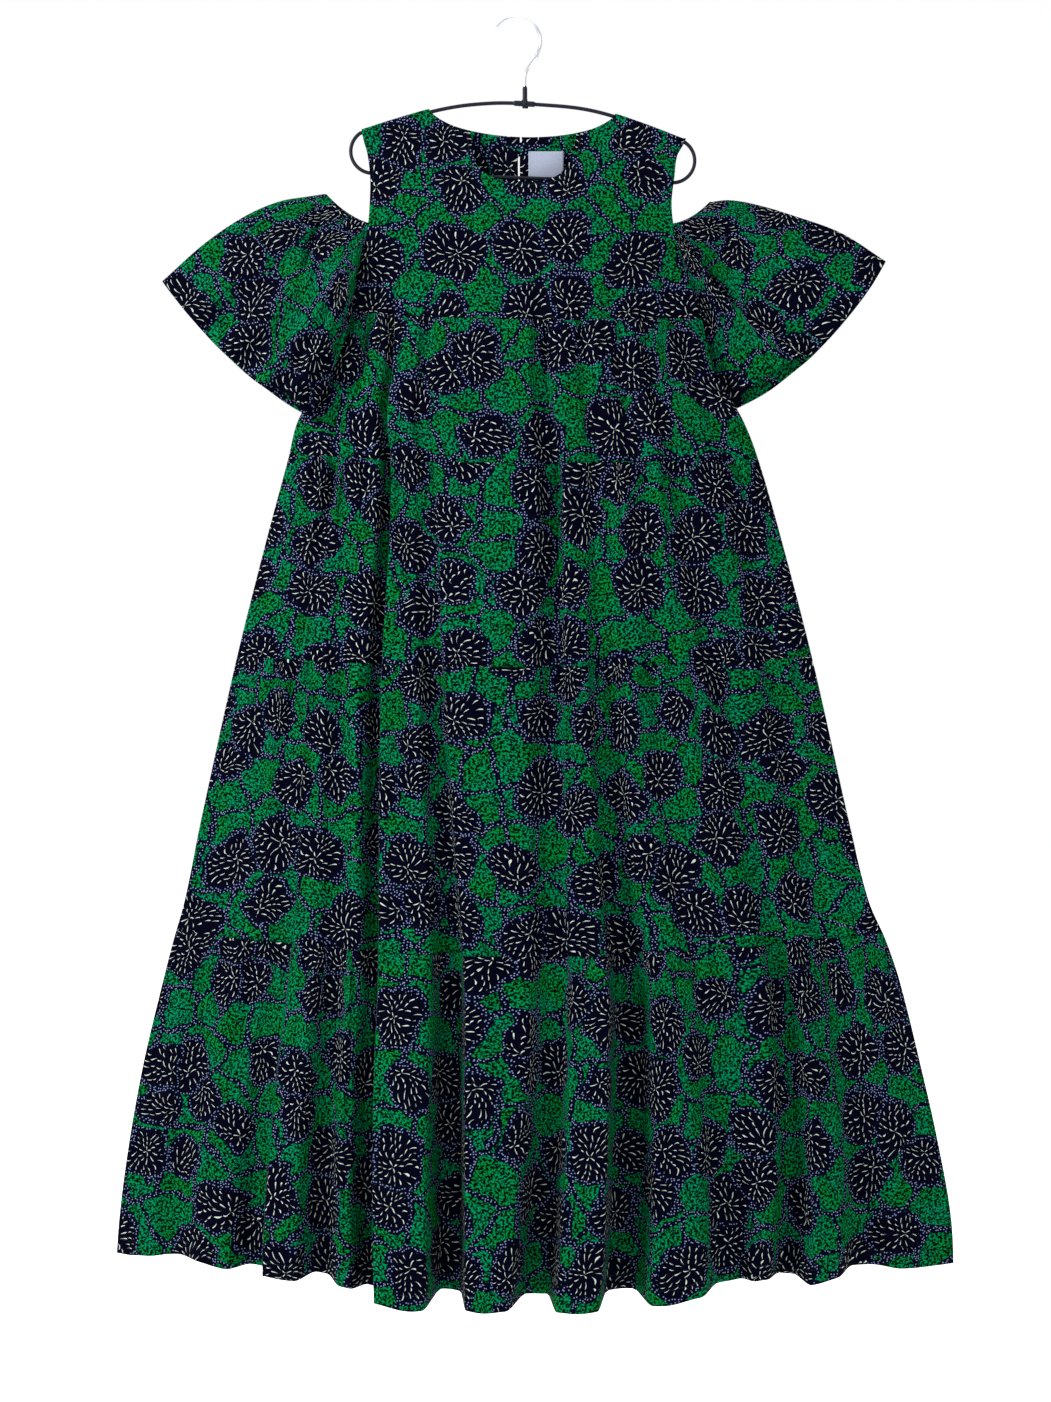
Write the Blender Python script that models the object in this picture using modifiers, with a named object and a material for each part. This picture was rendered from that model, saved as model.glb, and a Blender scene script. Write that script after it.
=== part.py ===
"""Tiered cold-shoulder dress hung on a wire hanger, for Blender 4.5.

The dress is a plain bodice with a round neck, two flared sleeves that leave the shoulders bare, and four
gathered tiers, each cut as a front and a back. Each panel is an open surface with a Solidify wall, 0.3 mm
from the panel that it is sewn to. The hanger is a closed, coated wire with a round loop at each shoulder,
and a chrome hook held in a clamp at its middle.

Tables and functions are in millimetres, and the meshes in metres, +Z up. The origin is the inside top of
the hook. The front of the dress faces -Y, and +X is to the right as one looks at it.
"""

import math
from bisect import bisect_right
from collections import namedtuple

import bmesh
import bpy
from mathutils import Vector

MM = 0.001

# Driving sizes
CLOTH_WALL = 1.5
LABEL_WALL = 1.0
SEAM_GAP = 0.3
ARMHOLE_GAP = 0.5
SLEEVE_SEAM_RUN = 3.0
HANGER_WIRE_RADIUS = 2.1
HOOK_WIRE_RADIUS = 1.9
WIRE_CLEARANCE = 0.7
CHEST_DEPTH = 24.0
FRONT = -1
BACK = 1

# Half of the room between front and back where the side seams pinch them together
SIDE_HALF_GAP = (CLOTH_WALL + SEAM_GAP) / 2

# The cloth's middle layer rounds over the wire at this radius, and starts this far from the hanger's plane
SHOULDER_RADIUS = HANGER_WIRE_RADIUS + WIRE_CLEARANCE + CLOTH_WALL / 2
SHOULDER_SEAM_Y = 0.6

# Height of the hanger's wire along its top, from the left shoulder tip to the right one
WireStep = namedtuple("WireStep", "x z")
WIRE_TOP = (
    WireStep(-181, -131.7),
    WireStep(-140, -118.6),
    WireStep(-100, -107.3),
    WireStep(-67, -100.8),
    WireStep(-32, -97.6),
    WireStep(-6, -97.4),
    WireStep(25, -99.2),
    WireStep(60, -102.0),
    WireStep(84, -105.8),
    WireStep(109, -112.2),
    WireStep(150, -126.2),
    WireStep(191, -142.1),
)
WIRE_STEP_LENGTH = 14
LOOP_RADIUS = 25.5
LOOP_LEFT = WireStep(-168.2, -153.1)
LOOP_RIGHT = WireStep(179.2, -164.1)

# The hook: a bend from its tip round to the stem, in degrees, then the points of the stem down to the clamp
HOOK_RADIUS = 27.5
HOOK_CENTRE_X = -1.2
HOOK_TIP_ANGLE = 155
HOOK_BEND_END = -28
STEM = (
    WireStep(21, -44.5),
    WireStep(15.5, -51.5),
    WireStep(11, -58),
    WireStep(8.6, -65),
    WireStep(8, -73),
    WireStep(8, -84),
)

# The clamp: a tube round the wire, and a shorter one that stands on it round the stem
CLAMP_X = 8
CLAMP_RADIUS = 4.1
CLAMP_LENGTH = 26
CLAMP_WIRE_ROOM = 0.5
STEM_SLEEVE_RADIUS = 3.3
STEM_SLEEVE_LENGTH = 20
STEM_ROOM = 0.3

# The dress from the underarm to the hem: both silhouettes, and how far front and back stand out midway
Section = namedtuple("Section", "z left right depth")
UNDERARM = -299
BODY = (
    Section(UNDERARM, -188, 197, CHEST_DEPTH),
    Section(-336, -195, 210, 28),
    Section(-406, -220, 227, 33),
    Section(-464, -254, 260, 37),
    Section(-510, -266, 278, 41),
    Section(-603, -291, 305, 45),
    Section(-742, -326, 341, 51),
    Section(-928, -367, 383, 59),
    Section(-1021, -386, 406, 63),
    Section(-1067, -399, 426, 66),
    Section(-1114, -411, 442, 68),
    Section(-1206, -433, 465, 72),
    Section(-1299, -450, 486, 75),
    Section(-1392, -462, 502, 77),
    Section(-1480, -467, 505, 78),
)

# The armholes, from the shoulder tips to the underarm. The sleeves are sewn on below SLEEVE_START
SLEEVE_START = -241
ArmholeStep = namedtuple("ArmholeStep", "z left right")
ARMHOLE = (
    ArmholeStep(-128, -181, 195),
    ArmholeStep(-140, -179, 194),
    ArmholeStep(-158, -174, 184.5),
    ArmholeStep(-186, -170.5, 180.5),
    ArmholeStep(-215, -170.5, 177),
    ArmholeStep(SLEEVE_START, -172, 178.5),
    ArmholeStep(-272, -178, 185),
)

# How far below the shoulders the chest is at its full depth, where its folds start, and the depth that a
# panel needs for its folds to stand at their full height
CHEST_RUN = 185
BODICE_FOLDS_START = -250
FULL_FOLD_DEPTH = 14

# The round neck: where the wire leaves the cloth, and how far the edges dip below the shoulder line. The two
# powers make the dips rounder or squarer
NECK_LEFT = -100
NECK_RIGHT = 111
NECK_STEP = 1.0
NECK_CLEARANCE = 0.8
BACK_NECK_DIP = 27
BACK_NECK_ROUNDNESS = 0.62
FRONT_NECK_DIP = 48
FRONT_SCOOP_CENTRE = 6
FRONT_SCOOP_HALF_WIDTH = 64
FRONT_SCOOP_SQUARENESS = 2.5

# Seams round the dress: their height at the left side, midway and at the right side
Seam = namedtuple("Seam", "left middle right")
EMPIRE = Seam(-339, -354, -347)
SEAM_2 = Seam(-503, -520, -510)
SEAM_3 = Seam(-737, -752, -738)
SEAM_4 = Seam(-1056, -1076, -1059)
HEM = Seam(-1429, -1463, -1441)
LEVELS = (EMPIRE, SEAM_2, SEAM_3, SEAM_4, HEM)

# The long folds of the front. The first five columns say where each hollow lies at the five seams, then come
# its flat bottom and the run of its sides at the hem, how far it sinks below the smooth front at seams 2 to 4
# and the hem, and how far the ridge on its right stands out at seam 4 and the hem
Fold = namedtuple(
    "Fold",
    "empire seam_2 seam_3 seam_4 hem flat left_run right_run sink_2 sink_3 sink_4 sink_hem ridge_4 ridge_hem",
)
FRONT_FOLDS = (
    Fold(-190, -240, -295, -350, -400, 10, 24, 30, 0, 0, 2, 7, 1, 9),
    Fold(-178, -212, -245, -266, -300, 14, 28, 12, 4, 3, 6, 17, 2, 15),
    Fold(-164, -178, -197, -204, -224, 12, 22, 24, 2, 3, 6, 22, 2, 7),
    Fold(-146, -149, -159, -163, -166, 8, 12, 9, 11, 12, 16, 18, 6, 36),
    Fold(-92, -90, -90, -74, -74, 26, 18, 10, 3, 6, 18, 28, 5, 28),
    Fold(28, 37, 42, 46, 24, 28, 24, 11, 7, 8, 10, 29, 5, 29),
    Fold(78, 92, 99, 122, 116, 30, 14, 18, 2, 5, 24, 31, 4, 22),
    Fold(118, 136, 165, 210, 240, 24, 26, 26, 0, 1, 3, 17, 1, 4),
    Fold(150, 180, 224, 296, 308, 16, 20, 14, 4, 3, 7, 20, 2, 20),
    Fold(186, 246, 296, 366, 396, 20, 26, 40, 4, 6, 7, 12, 1, 5),
)
SIDE_RIDGE = 5
MOST_REACH = 0.42

# The tiers: the heights of their rows between the seams, and how far the gathers ripple below the upper one
Tier = namedtuple("Tier", "name above below rows ripple")
TIERS = (
    Tier("tier_1", EMPIRE, SEAM_2, (0, 0.16, 0.55, 1), 3.5),
    Tier("tier_2", SEAM_2, SEAM_3, (0, 0.12, 0.4, 0.7, 1), 4.5),
    Tier("tier_3", SEAM_3, SEAM_4, (0, 0.1, 0.35, 0.68, 1), 5.5),
    Tier("tier_4", SEAM_4, HEM, (0, 0.08, 0.26, 0.5, 0.75, 1), 7.0),
)

# The sleeves: at each step from the armhole to the cuff, the fold at the top, the fold at the underarm, how
# far the layers between them bow out, how far the lower fold is carried to the front (-) or the back (+) of
# the dress, and half of the room between the two layers
Ring = namedtuple("Ring", "along top_x top_z low_x low_z bow_x bow_z carry depth")
LEFT_SLEEVE = (
    Ring(0.0, -222, -203, -188, -299, 33, -5, 0, 20),
    Ring(0.12, -245, -206, -198, -313, 20, -2, -11, 16),
    Ring(0.3, -278, -212, -190, -338, 10, -4, -28, 12),
    Ring(0.5, -317, -229, -200, -375, 6, -10, -28, 13),
    Ring(0.75, -364, -261, -215, -415, 1, -19, -30, 16),
    Ring(1.0, -412, -304, -231, -455, 2, -27, -32, 20),
)
RIGHT_SLEEVE = (
    Ring(0.0, 222, -212, 197, -299, -30, -5, 0, 20),
    Ring(0.12, 244, -210, 211, -316, -18, -2, 11, 16),
    Ring(0.3, 275, -215, 210, -346, -8, -4, 22, 12),
    Ring(0.5, 316, -227, 215, -380, -3, -8, 26, 13),
    Ring(0.75, 374, -248, 229, -420, 2, -13, 28, 16),
    Ring(1.0, 426, -281, 248, -450, 12, -16, 30, 20),
)
SLEEVE_STEPS = (0.0, 0.02, 0.12, 0.3, 0.5, 0.75, 1.0)
SLEEVE_COLUMNS = 34
SLEEVE_FLUTES = 4
SLEEVE_FLUTE_DEPTH = 6.0
RIGHT_PLEAT_DEPTH = 8.0

# The centre-back slit, open from SLIT_TOP down to SLIT_END, with a small notch above the closed part
SLIT_X = 2.7
SLIT_HALF_WIDTH = 1.2
NOTCH_DEPTH = 6
SLIT_TOP = 22
SLIT_END = 125

# The blank label inside the back neck
LABEL_LEFT = 12.3
LABEL_WIDTH = 41
LABEL_TOP = -156
LABEL_HEIGHT = 33


def smooth_curve(knots):
    """A function that passes smoothly through (place, value) knots and stays level beyond both ends."""
    knots = sorted(knots)
    places = [knot[0] for knot in knots]
    values = [knot[1] for knot in knots]
    last = len(knots) - 1
    slopes = []
    for i in range(last + 1):
        before, after = max(i - 1, 0), min(i + 1, last)
        slopes.append((values[after] - values[before]) / (places[after] - places[before]))

    def value_at(place):
        place = min(max(place, places[0]), places[-1])
        i = min(max(bisect_right(places, place) - 1, 0), last - 1)
        run = places[i + 1] - places[i]
        t = (place - places[i]) / run
        start = (1 + 2 * t) * (1 - t) ** 2 * values[i] + t * (1 - t) ** 2 * run * slopes[i]
        end = t * t * (3 - 2 * t) * values[i + 1] + t * t * (t - 1) * run * slopes[i + 1]
        return start + end

    return value_at


def ease(t):
    """0 to 1 with level ends."""
    t = min(max(t, 0.0), 1.0)
    return t * t * (3 - 2 * t)


def blend(start, end, t):
    return start + (end - start) * t


wire_height = smooth_curve((step.x, step.z) for step in WIRE_TOP)
left_edge = smooth_curve([(step.z, step.left) for step in ARMHOLE + BODY])
right_edge = smooth_curve([(step.z, step.right) for step in ARMHOLE + BODY])
body_depth = smooth_curve((step.z, step.depth) for step in BODY)


def seam_height(seam, u):
    """Height of a seam at u, from -1 at the left side to 1 at the right side."""
    side = seam.left if u < 0 else seam.right
    return seam.middle + (side - seam.middle) * u * u


def shoulder_height(x):
    """Height of the shoulder seams, carried straight across the neck."""
    if x < NECK_LEFT or x > NECK_RIGHT:
        return wire_height(x) + SHOULDER_RADIUS
    across = (x - NECK_LEFT) / (NECK_RIGHT - NECK_LEFT)
    return blend(wire_height(NECK_LEFT), wire_height(NECK_RIGHT), across) + SHOULDER_RADIUS


def belly(u, z):
    """How far the smooth front stands out at u: nearly flat at the chest, more pointed at the hem."""
    point = blend(0.75, 1.3, ease((UNDERARM - z) / 900))
    return body_depth(z) * max(1 - u * u, 0) ** point


def fold_marks(side, z):
    """(u, height) at the lips and bottoms of the long folds, from the left side to the right one.

    The back has the front's folds the other way round, a little shallower and less even.
    """
    level_heights = [level.middle for level in LEVELS]
    middle = [(left_edge(h) + right_edge(h)) / 2 for h in level_heights]
    half = [(right_edge(h) - left_edge(h)) / 2 for h in level_heights]
    folds = []
    for number, fold in enumerate(FRONT_FOLDS):
        places = [(x - c) / w for x, c, w in zip(fold[:5], middle, half)]
        u = smooth_curve(zip(level_heights, places))(z)
        sinks = (0.4 * fold.sink_2, fold.sink_2, fold.sink_3, fold.sink_4, fold.sink_hem)
        ridges = (0, 0, 0.3 * fold.ridge_4, fold.ridge_4, fold.ridge_hem)
        share = 1.0
        left_run, right_run = fold.left_run, fold.right_run
        if side == BACK:
            u = -u
            share = 0.72 + 0.2 * math.sin(2.3 * number)
            left_run, right_run = right_run, left_run
        sink = share * smooth_curve(zip(level_heights, sinks))(z)
        ridge = share * smooth_curve(zip(level_heights, ridges))(z)
        reach = [(fold.flat / 2 + run) / half[-1] for run in (left_run, right_run)]
        folds.append([u, reach[0], reach[1], fold.flat / 2 / half[-1], sink, ridge])
    if side == BACK:
        folds.reverse()
    marks = [(-1.0, 0.0, "side")]
    ridge_before = SIDE_RIDGE * ease((SEAM_4.middle - z) / 300)
    for i, (u, reach_left, reach_right, flat, sink, ridge) in enumerate(folds):
        u_before = folds[i - 1][0] if i else -1.0
        u_after = folds[i + 1][0] if i + 1 < len(folds) else 1.0
        reach_left = min(reach_left, MOST_REACH * (u - u_before))
        reach_right = min(reach_right, MOST_REACH * (u_after - u))
        flat_left, flat_right = min(flat, reach_left / 2), min(flat, reach_right / 2)
        marks.append((u - reach_left, ridge_before, "lip"))
        marks.append((u - flat_left, -sink, "bottom"))
        marks.append((u, -sink, "middle"))
        marks.append((u + flat_right, -sink, "bottom"))
        marks.append((u + reach_right, ridge, "lip"))
        ridge_before = ridge
    marks.append((1.0, 0.0, "side"))
    return marks


def fold_columns(marks):
    """The places of a panel's columns: the sides, each lip, wall, hollow and ridge."""
    places = [mark[0] for mark in marks]
    columns = [places[0], (places[0] + places[1]) / 2]
    for first in range(1, len(places) - 1, 5):
        lip, bottom, middle, far_bottom, far_lip, after = places[first : first + 6]
        columns += [lip, (lip + bottom) / 2, middle]
        columns += [(far_bottom + far_lip) / 2, far_lip, (far_lip + after) / 2]
    return columns + [places[-1]]


def fold_height(marks, u):
    """How far the folds move the cloth out (+) or in (-) at u."""
    places = [mark[0] for mark in marks]
    i = min(max(bisect_right(places, u) - 1, 0), len(marks) - 2)
    t = (u - places[i]) / (places[i + 1] - places[i])
    return blend(marks[i][1], marks[i + 1][1], ease(t))


def skirt_point(side, tier, number, column, row):
    """A point of a tier, with the panel's columns and rows counted from the left and from the top."""
    down = tier.rows[row]
    level = blend(tier.above.middle, tier.below.middle, down)
    marks = fold_marks(side, level)
    u = fold_columns(marks)[column]
    top = seam_height(tier.above, u) - SEAM_GAP / 2
    bottom = seam_height(tier.below, u) + (SEAM_GAP / 2 if tier.below is not HEM else 0)
    z = blend(top, bottom, down)
    smooth = belly(u, level)
    uneven = 0.7 + 0.3 * math.sin(1.9 * column + 2.0 * number + side)
    below_seam = min(down / tier.rows[1], 1) * (1 - down) ** 1.2
    ripple = tier.ripple * uneven * below_seam * math.sin(math.pi / 2 * (column + number))
    out = smooth + (fold_height(marks, u) + ripple) * min(1, smooth / FULL_FOLD_DEPTH)
    x = blend(left_edge(z), right_edge(z), (u + 1) / 2)
    return x, side * (SIDE_HALF_GAP + max(out, 0)), z


def armhole_openness(z):
    """1 where the armhole keeps front and back apart, 0 at the underarm where they meet."""
    return 1 - ease((z - SLEEVE_START) / (UNDERARM - SLEEVE_START))


def bodice_out(side, x, z):
    """How far the bodice's middle layer lies from the plane of the hanger."""
    below = shoulder_height(x) - z
    if below < SHOULDER_RADIUS:
        if NECK_LEFT + NECK_STEP / 2 < x < NECK_RIGHT - NECK_STEP / 2:
            return SHOULDER_RADIUS + NECK_CLEARANCE
        curve = math.sqrt(max(SHOULDER_RADIUS**2 - (SHOULDER_RADIUS - below) ** 2, 0))
        return max(curve, SHOULDER_SEAM_Y)
    u = 2 * (x - left_edge(z)) / (right_edge(z) - left_edge(z)) - 1
    flat = SHOULDER_RADIUS + (CHEST_DEPTH - SHOULDER_RADIUS) * ease(below / CHEST_RUN)
    if NECK_LEFT + NECK_STEP / 2 < x < NECK_RIGHT - NECK_STEP / 2:
        flat = max(flat, SHOULDER_RADIUS + NECK_CLEARANCE)
    if z > UNDERARM:
        open_side = armhole_openness(z)
        round_side = max(1 - u * u, 0) ** 0.75
        out = blend(SIDE_HALF_GAP + flat * round_side, flat, open_side)
    else:
        out = SIDE_HALF_GAP + belly(u, z)
    marks = fold_marks(side, EMPIRE.middle)
    folded = fold_height(marks, u) * ease((BODICE_FOLDS_START - z) / (BODICE_FOLDS_START - EMPIRE.middle))
    return out + folded * min(1, out / FULL_FOLD_DEPTH)


def neck_dip(side, x):
    """How far the neck edge lies below the shoulder line."""
    if x <= NECK_LEFT or x >= NECK_RIGHT:
        return 0.0
    across = 2 * (x - NECK_LEFT) / (NECK_RIGHT - NECK_LEFT) - 1
    dip = BACK_NECK_DIP * (1 - across * across) ** BACK_NECK_ROUNDNESS
    scoop = abs(x - FRONT_SCOOP_CENTRE) / FRONT_SCOOP_HALF_WIDTH
    if side == FRONT and scoop < 1:
        dip += FRONT_NECK_DIP * (1 - scoop**FRONT_SCOOP_SQUARENESS) ** 0.5
    return dip


def spread(start, end, count):
    """count places from start towards end, leaving the end out."""
    return [blend(start, end, i / count) for i in range(count)]


def bodice_columns(side):
    """Places along the top edge: both shoulders and the neck between them."""
    left, right = ARMHOLE[0].left, ARMHOLE[0].right
    near_left, near_right = NECK_LEFT + NECK_STEP, NECK_RIGHT - NECK_STEP
    if side == FRONT:
        scoop = [
            FRONT_SCOOP_CENTRE - FRONT_SCOOP_HALF_WIDTH * math.cos(math.pi * i / 10) for i in range(11)
        ]
        neck = spread(near_left, scoop[0], 2) + scoop[:-1] + spread(scoop[-1], near_right, 2)
    else:
        slit_left, slit_right = SLIT_X - SLIT_HALF_WIDTH, SLIT_X + SLIT_HALF_WIDTH
        neck = spread(near_left, slit_left, 6) + [slit_left] + spread(slit_right, near_right, 6)
    shoulder_right = spread(NECK_RIGHT, right, 4) + [right]
    return spread(left, NECK_LEFT, 4) + [NECK_LEFT] + neck + [near_right] + shoulder_right


ROLL_ROWS = (0.0, 1.0, SHOULDER_RADIUS)
FRONT_ROWS = (0.14, 0.3, 0.46, 0.62, 0.76, 0.88, 1.0)
BACK_ROWS = (NOTCH_DEPTH, SLIT_TOP, SLIT_TOP + 18, SLIT_TOP + 45, 85, SLIT_END, 155, 185)


def bodice_point(side, columns, column, row):
    """A point of the bodice: three rows roll over the shoulder, and the rest go down to the empire seam."""
    top_x = columns[column]
    across = (top_x - columns[0]) / (columns[-1] - columns[0])
    top = shoulder_height(top_x) - neck_dip(side, top_x)
    bottom = seam_height(EMPIRE, 2 * across - 1) + SEAM_GAP / 2
    if row < len(ROLL_ROWS):
        z = top - ROLL_ROWS[row]
    elif side == FRONT:
        z = blend(top - SHOULDER_RADIUS, bottom, FRONT_ROWS[row - len(ROLL_ROWS)])
    else:
        below_neck = (BACK_ROWS + (None,))[row - len(ROLL_ROWS)]
        middle_top = shoulder_height(SLIT_X) - BACK_NECK_DIP
        full = middle_top - seam_height(EMPIRE, 0) - SHOULDER_RADIUS
        share = 1.0 if below_neck is None else (below_neck - SHOULDER_RADIUS) / full
        z = blend(top - SHOULDER_RADIUS, bottom, share)
    x = blend(left_edge(z), right_edge(z), across)
    return x, side * bodice_out(side, x, z), z


def in_slit(columns, column, row):
    """Whether a cell of the back lies in the notch or in the open slit."""
    centre = (columns[column] + columns[column + 1]) / 2
    if abs(centre - SLIT_X) > SLIT_HALF_WIDTH:
        return False
    row_names = (0.0,) + ROLL_ROWS[1:] + BACK_ROWS
    top = row_names[row]
    return top < NOTCH_DEPTH or SLIT_TOP <= top < SLIT_END


def sleeve_curves(rings):
    """One smooth function of the way to the cuff for each column of a sleeve's table."""
    return [smooth_curve((ring.along, ring[i]) for ring in rings) for i in range(1, len(Ring._fields))]


def sleeve_point(rings, curves, column, row):
    """A point of a sleeve: columns go round it from the top fold down the front and up the back."""
    left = rings is LEFT_SLEEVE
    outward = -1 if left else 1
    along = SLEEVE_STEPS[row]
    turn = 2 * column / SLEEVE_COLUMNS
    side = FRONT if turn <= 1 else BACK
    turn = turn if side == FRONT else 2 - turn
    low = blend(turn, (1 - math.cos(math.pi * turn)) / 2, 0.6)
    swell = math.sin(math.pi * turn) ** 0.8 if 0 < turn < 1 else 0.0
    if row < 2:
        return armhole_ring_point(rings[0], outward, side, low, ARMHOLE_GAP + row * SLEEVE_SEAM_RUN)
    top_x, top_z, low_x, low_z, bow_x, bow_z, carry, depth = (curve(along) for curve in curves)
    bow = 4 * low * (1 - low)
    x = blend(top_x, low_x, low) + bow_x * bow
    z = blend(top_z, low_z, low) + bow_z * bow
    y = carry * ease((low - 0.3) / 0.6) + side * depth * swell
    y += SLEEVE_FLUTE_DEPTH * along * math.sin(2 * math.pi * SLEEVE_FLUTES * low + outward) * swell
    if side == FRONT and not left:
        pleat = blend(0.5, 0.62, along)
        y -= RIGHT_PLEAT_DEPTH * min(along / 0.3, 1) * ease((low - pleat) / 0.06) * swell
    return x, y, z


def armhole_point(side, outward, z):
    """A point on the bodice's own armhole edge, between the rows of its grid."""
    columns = bodice_columns(side)
    rows = FRONT_ROWS if side == FRONT else BACK_ROWS + (1.0,)
    last = len(columns) - 1
    steps = range(len(ROLL_ROWS) - 1, len(ROLL_ROWS) + len(rows))
    edge = [bodice_point(side, columns, 0 if outward < 0 else last, row) for row in steps]
    for above, below in zip(edge, edge[1:]):
        if below[2] <= z <= above[2]:
            t = (above[2] - z) / (above[2] - below[2])
            return tuple(blend(p, q, t) for p, q in zip(above, below))
    return edge[-1]


def armhole_ring_point(ring, outward, side, low, away):
    """A point near a sleeve's inner end: its free edge over the shoulder, then its seam down the armhole."""
    if low < 0.5:
        t = low / 0.5
        seam_x, seam_y, seam_z = armhole_point(side, outward, SLEEVE_START)
        x = blend(ring.top_x, seam_x, t) + outward * away
        return x, seam_y * math.sin(math.pi / 2 * t) ** 0.8, blend(ring.top_z, seam_z, t)
    x, y, z = armhole_point(side, outward, blend(SLEEVE_START, UNDERARM, (low - 0.5) / 0.5))
    if low == 1:
        y = 0.0
    return x + outward * away, y, z


def finish_of(name, colour, roughness, metallic=0.0):
    """A Principled material of one colour."""
    material = bpy.data.materials.new(name)
    material.use_nodes = True
    shader = material.node_tree.nodes["Principled BSDF"]
    shader.inputs["Base Color"].default_value = (*colour, 1.0)
    shader.inputs["Roughness"].default_value = roughness
    shader.inputs["Metallic"].default_value = metallic
    material.diffuse_color = (*colour, 1.0)
    return material


def new_collection(name):
    collection = bpy.data.collections.new(name)
    bpy.context.scene.collection.children.link(collection)
    return collection


def cloth_panel(name, across, down, place, material, wall=CLOTH_WALL, missing=None):
    """A wall of cloth on a grid of across by down cells. place(i, j) gives its points in millimetres."""
    sheet = bmesh.new()
    bmesh.ops.create_grid(sheet, x_segments=across, y_segments=down, size=1.0)
    cell_of = {}
    for point in sheet.verts:
        cell_of[point] = (round((point.co.x + 1) / 2 * across), round((1 - point.co.y) / 2 * down))
    if missing:
        gone = []
        for face in sheet.faces:
            corner = (min(cell_of[p][0] for p in face.verts), min(cell_of[p][1] for p in face.verts))
            if missing(*corner):
                gone.append(face)
        bmesh.ops.delete(sheet, geom=gone, context="FACES")
    for point in sheet.verts:
        point.co = Vector(place(*cell_of[point])) * MM
    bmesh.ops.remove_doubles(sheet, verts=sheet.verts, dist=0.01 * MM)
    mesh = bpy.data.meshes.new(name)
    sheet.to_mesh(mesh)
    sheet.free()
    mesh.materials.append(material)
    mesh.shade_smooth()
    panel = bpy.data.objects.new(name, mesh)
    dress.objects.link(panel)
    solidify = panel.modifiers.new("Cloth wall", "SOLIDIFY")
    solidify.thickness = wall * MM
    solidify.offset = 0
    solidify.use_even_offset = True
    return panel


def wire(name, points, radius, material, closed=False):
    """A round wire along points in the hanger's plane."""
    curve = bpy.data.curves.new(name, "CURVE")
    curve.dimensions = "3D"
    curve.bevel_depth = radius * MM
    curve.bevel_resolution = 2
    curve.use_fill_caps = not closed
    spline = curve.splines.new("POLY")
    spline.points.add(len(points) - 1)
    for point, (x, z) in zip(spline.points, points):
        point.co = (x * MM, 0, z * MM, 1)
    spline.use_cyclic_u = closed
    curve.materials.append(material)
    piece = bpy.data.objects.new(name, curve)
    dress.objects.link(piece)
    return piece


def arc(centre, radius, start, end, count):
    """Points on a circle from one angle to another, in degrees, both ends included."""
    points = []
    for i in range(count + 1):
        angle = math.radians(blend(start, end, i / count))
        points.append((centre.x + radius * math.cos(angle), centre.z + radius * math.sin(angle)))
    return points


def cylinder(name, radius, length, centre, tilt, collection):
    """A closed cylinder in the hanger's plane. tilt turns its axis from +Z towards +X, in degrees."""
    shape = bmesh.new()
    bmesh.ops.create_cone(
        shape,
        cap_ends=True,
        segments=20,
        radius1=radius * MM,
        radius2=radius * MM,
        depth=length * MM,
    )
    mesh = bpy.data.meshes.new(name)
    shape.to_mesh(mesh)
    shape.free()
    piece = bpy.data.objects.new(name, mesh)
    piece.location = (centre.x * MM, 0, centre.z * MM)
    piece.rotation_euler = (0, math.radians(tilt), 0)
    collection.objects.link(piece)
    return piece


def join_or_cut(piece, tool, operation):
    """A Boolean with a helper that isn't rendered."""
    tool.hide_render = True
    tool.display_type = "WIRE"
    boolean = piece.modifiers.new(tool.name, "BOOLEAN")
    boolean.operation = operation
    boolean.object = tool


def make_skirts(material):
    """Front and back of each tier."""
    count = len(fold_columns(fold_marks(FRONT, EMPIRE.middle)))
    for number, tier in enumerate(TIERS):
        for side, word in ((FRONT, "front"), (BACK, "back")):
            cloth_panel(
                f"{tier.name}_{word}",
                count - 1,
                len(tier.rows) - 1,
                lambda i, j, s=side, t=tier, n=number: skirt_point(s, t, n, i, j),
                material,
            )


def make_bodice(material):
    """Front with its round neck, and back with its slit."""
    for side, word, rows in ((FRONT, "front", FRONT_ROWS), (BACK, "back", BACK_ROWS + (1.0,))):
        columns = bodice_columns(side)
        cloth_panel(
            f"bodice_{word}",
            len(columns) - 1,
            len(ROLL_ROWS) + len(rows) - 1,
            lambda i, j, s=side, c=columns: bodice_point(s, c, i, j),
            material,
            missing=(lambda i, j, c=columns: in_slit(c, i, j)) if side == BACK else None,
        )


def make_sleeves(material):
    """Both sleeves as tubes, open at the cuff and over the shoulder."""
    for rings, word in ((LEFT_SLEEVE, "left"), (RIGHT_SLEEVE, "right")):
        curves = sleeve_curves(rings)
        cloth_panel(
            f"sleeve_{word}",
            SLEEVE_COLUMNS,
            len(SLEEVE_STEPS) - 1,
            lambda i, j, r=rings, c=curves: sleeve_point(r, c, i, j),
            material,
        )


def make_label(material):
    """A blank label on the inside of the back, made from the back's own points moved in."""
    inset = CLOTH_WALL / 2 + SEAM_GAP + LABEL_WALL / 2

    def place(i, j):
        x = LABEL_LEFT + LABEL_WIDTH * i / 6
        z = LABEL_TOP - LABEL_HEIGHT * j / 4
        return x, bodice_out(BACK, x, z) - inset, z

    cloth_panel("neck_label", 6, 4, place, material, wall=LABEL_WALL)


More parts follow.
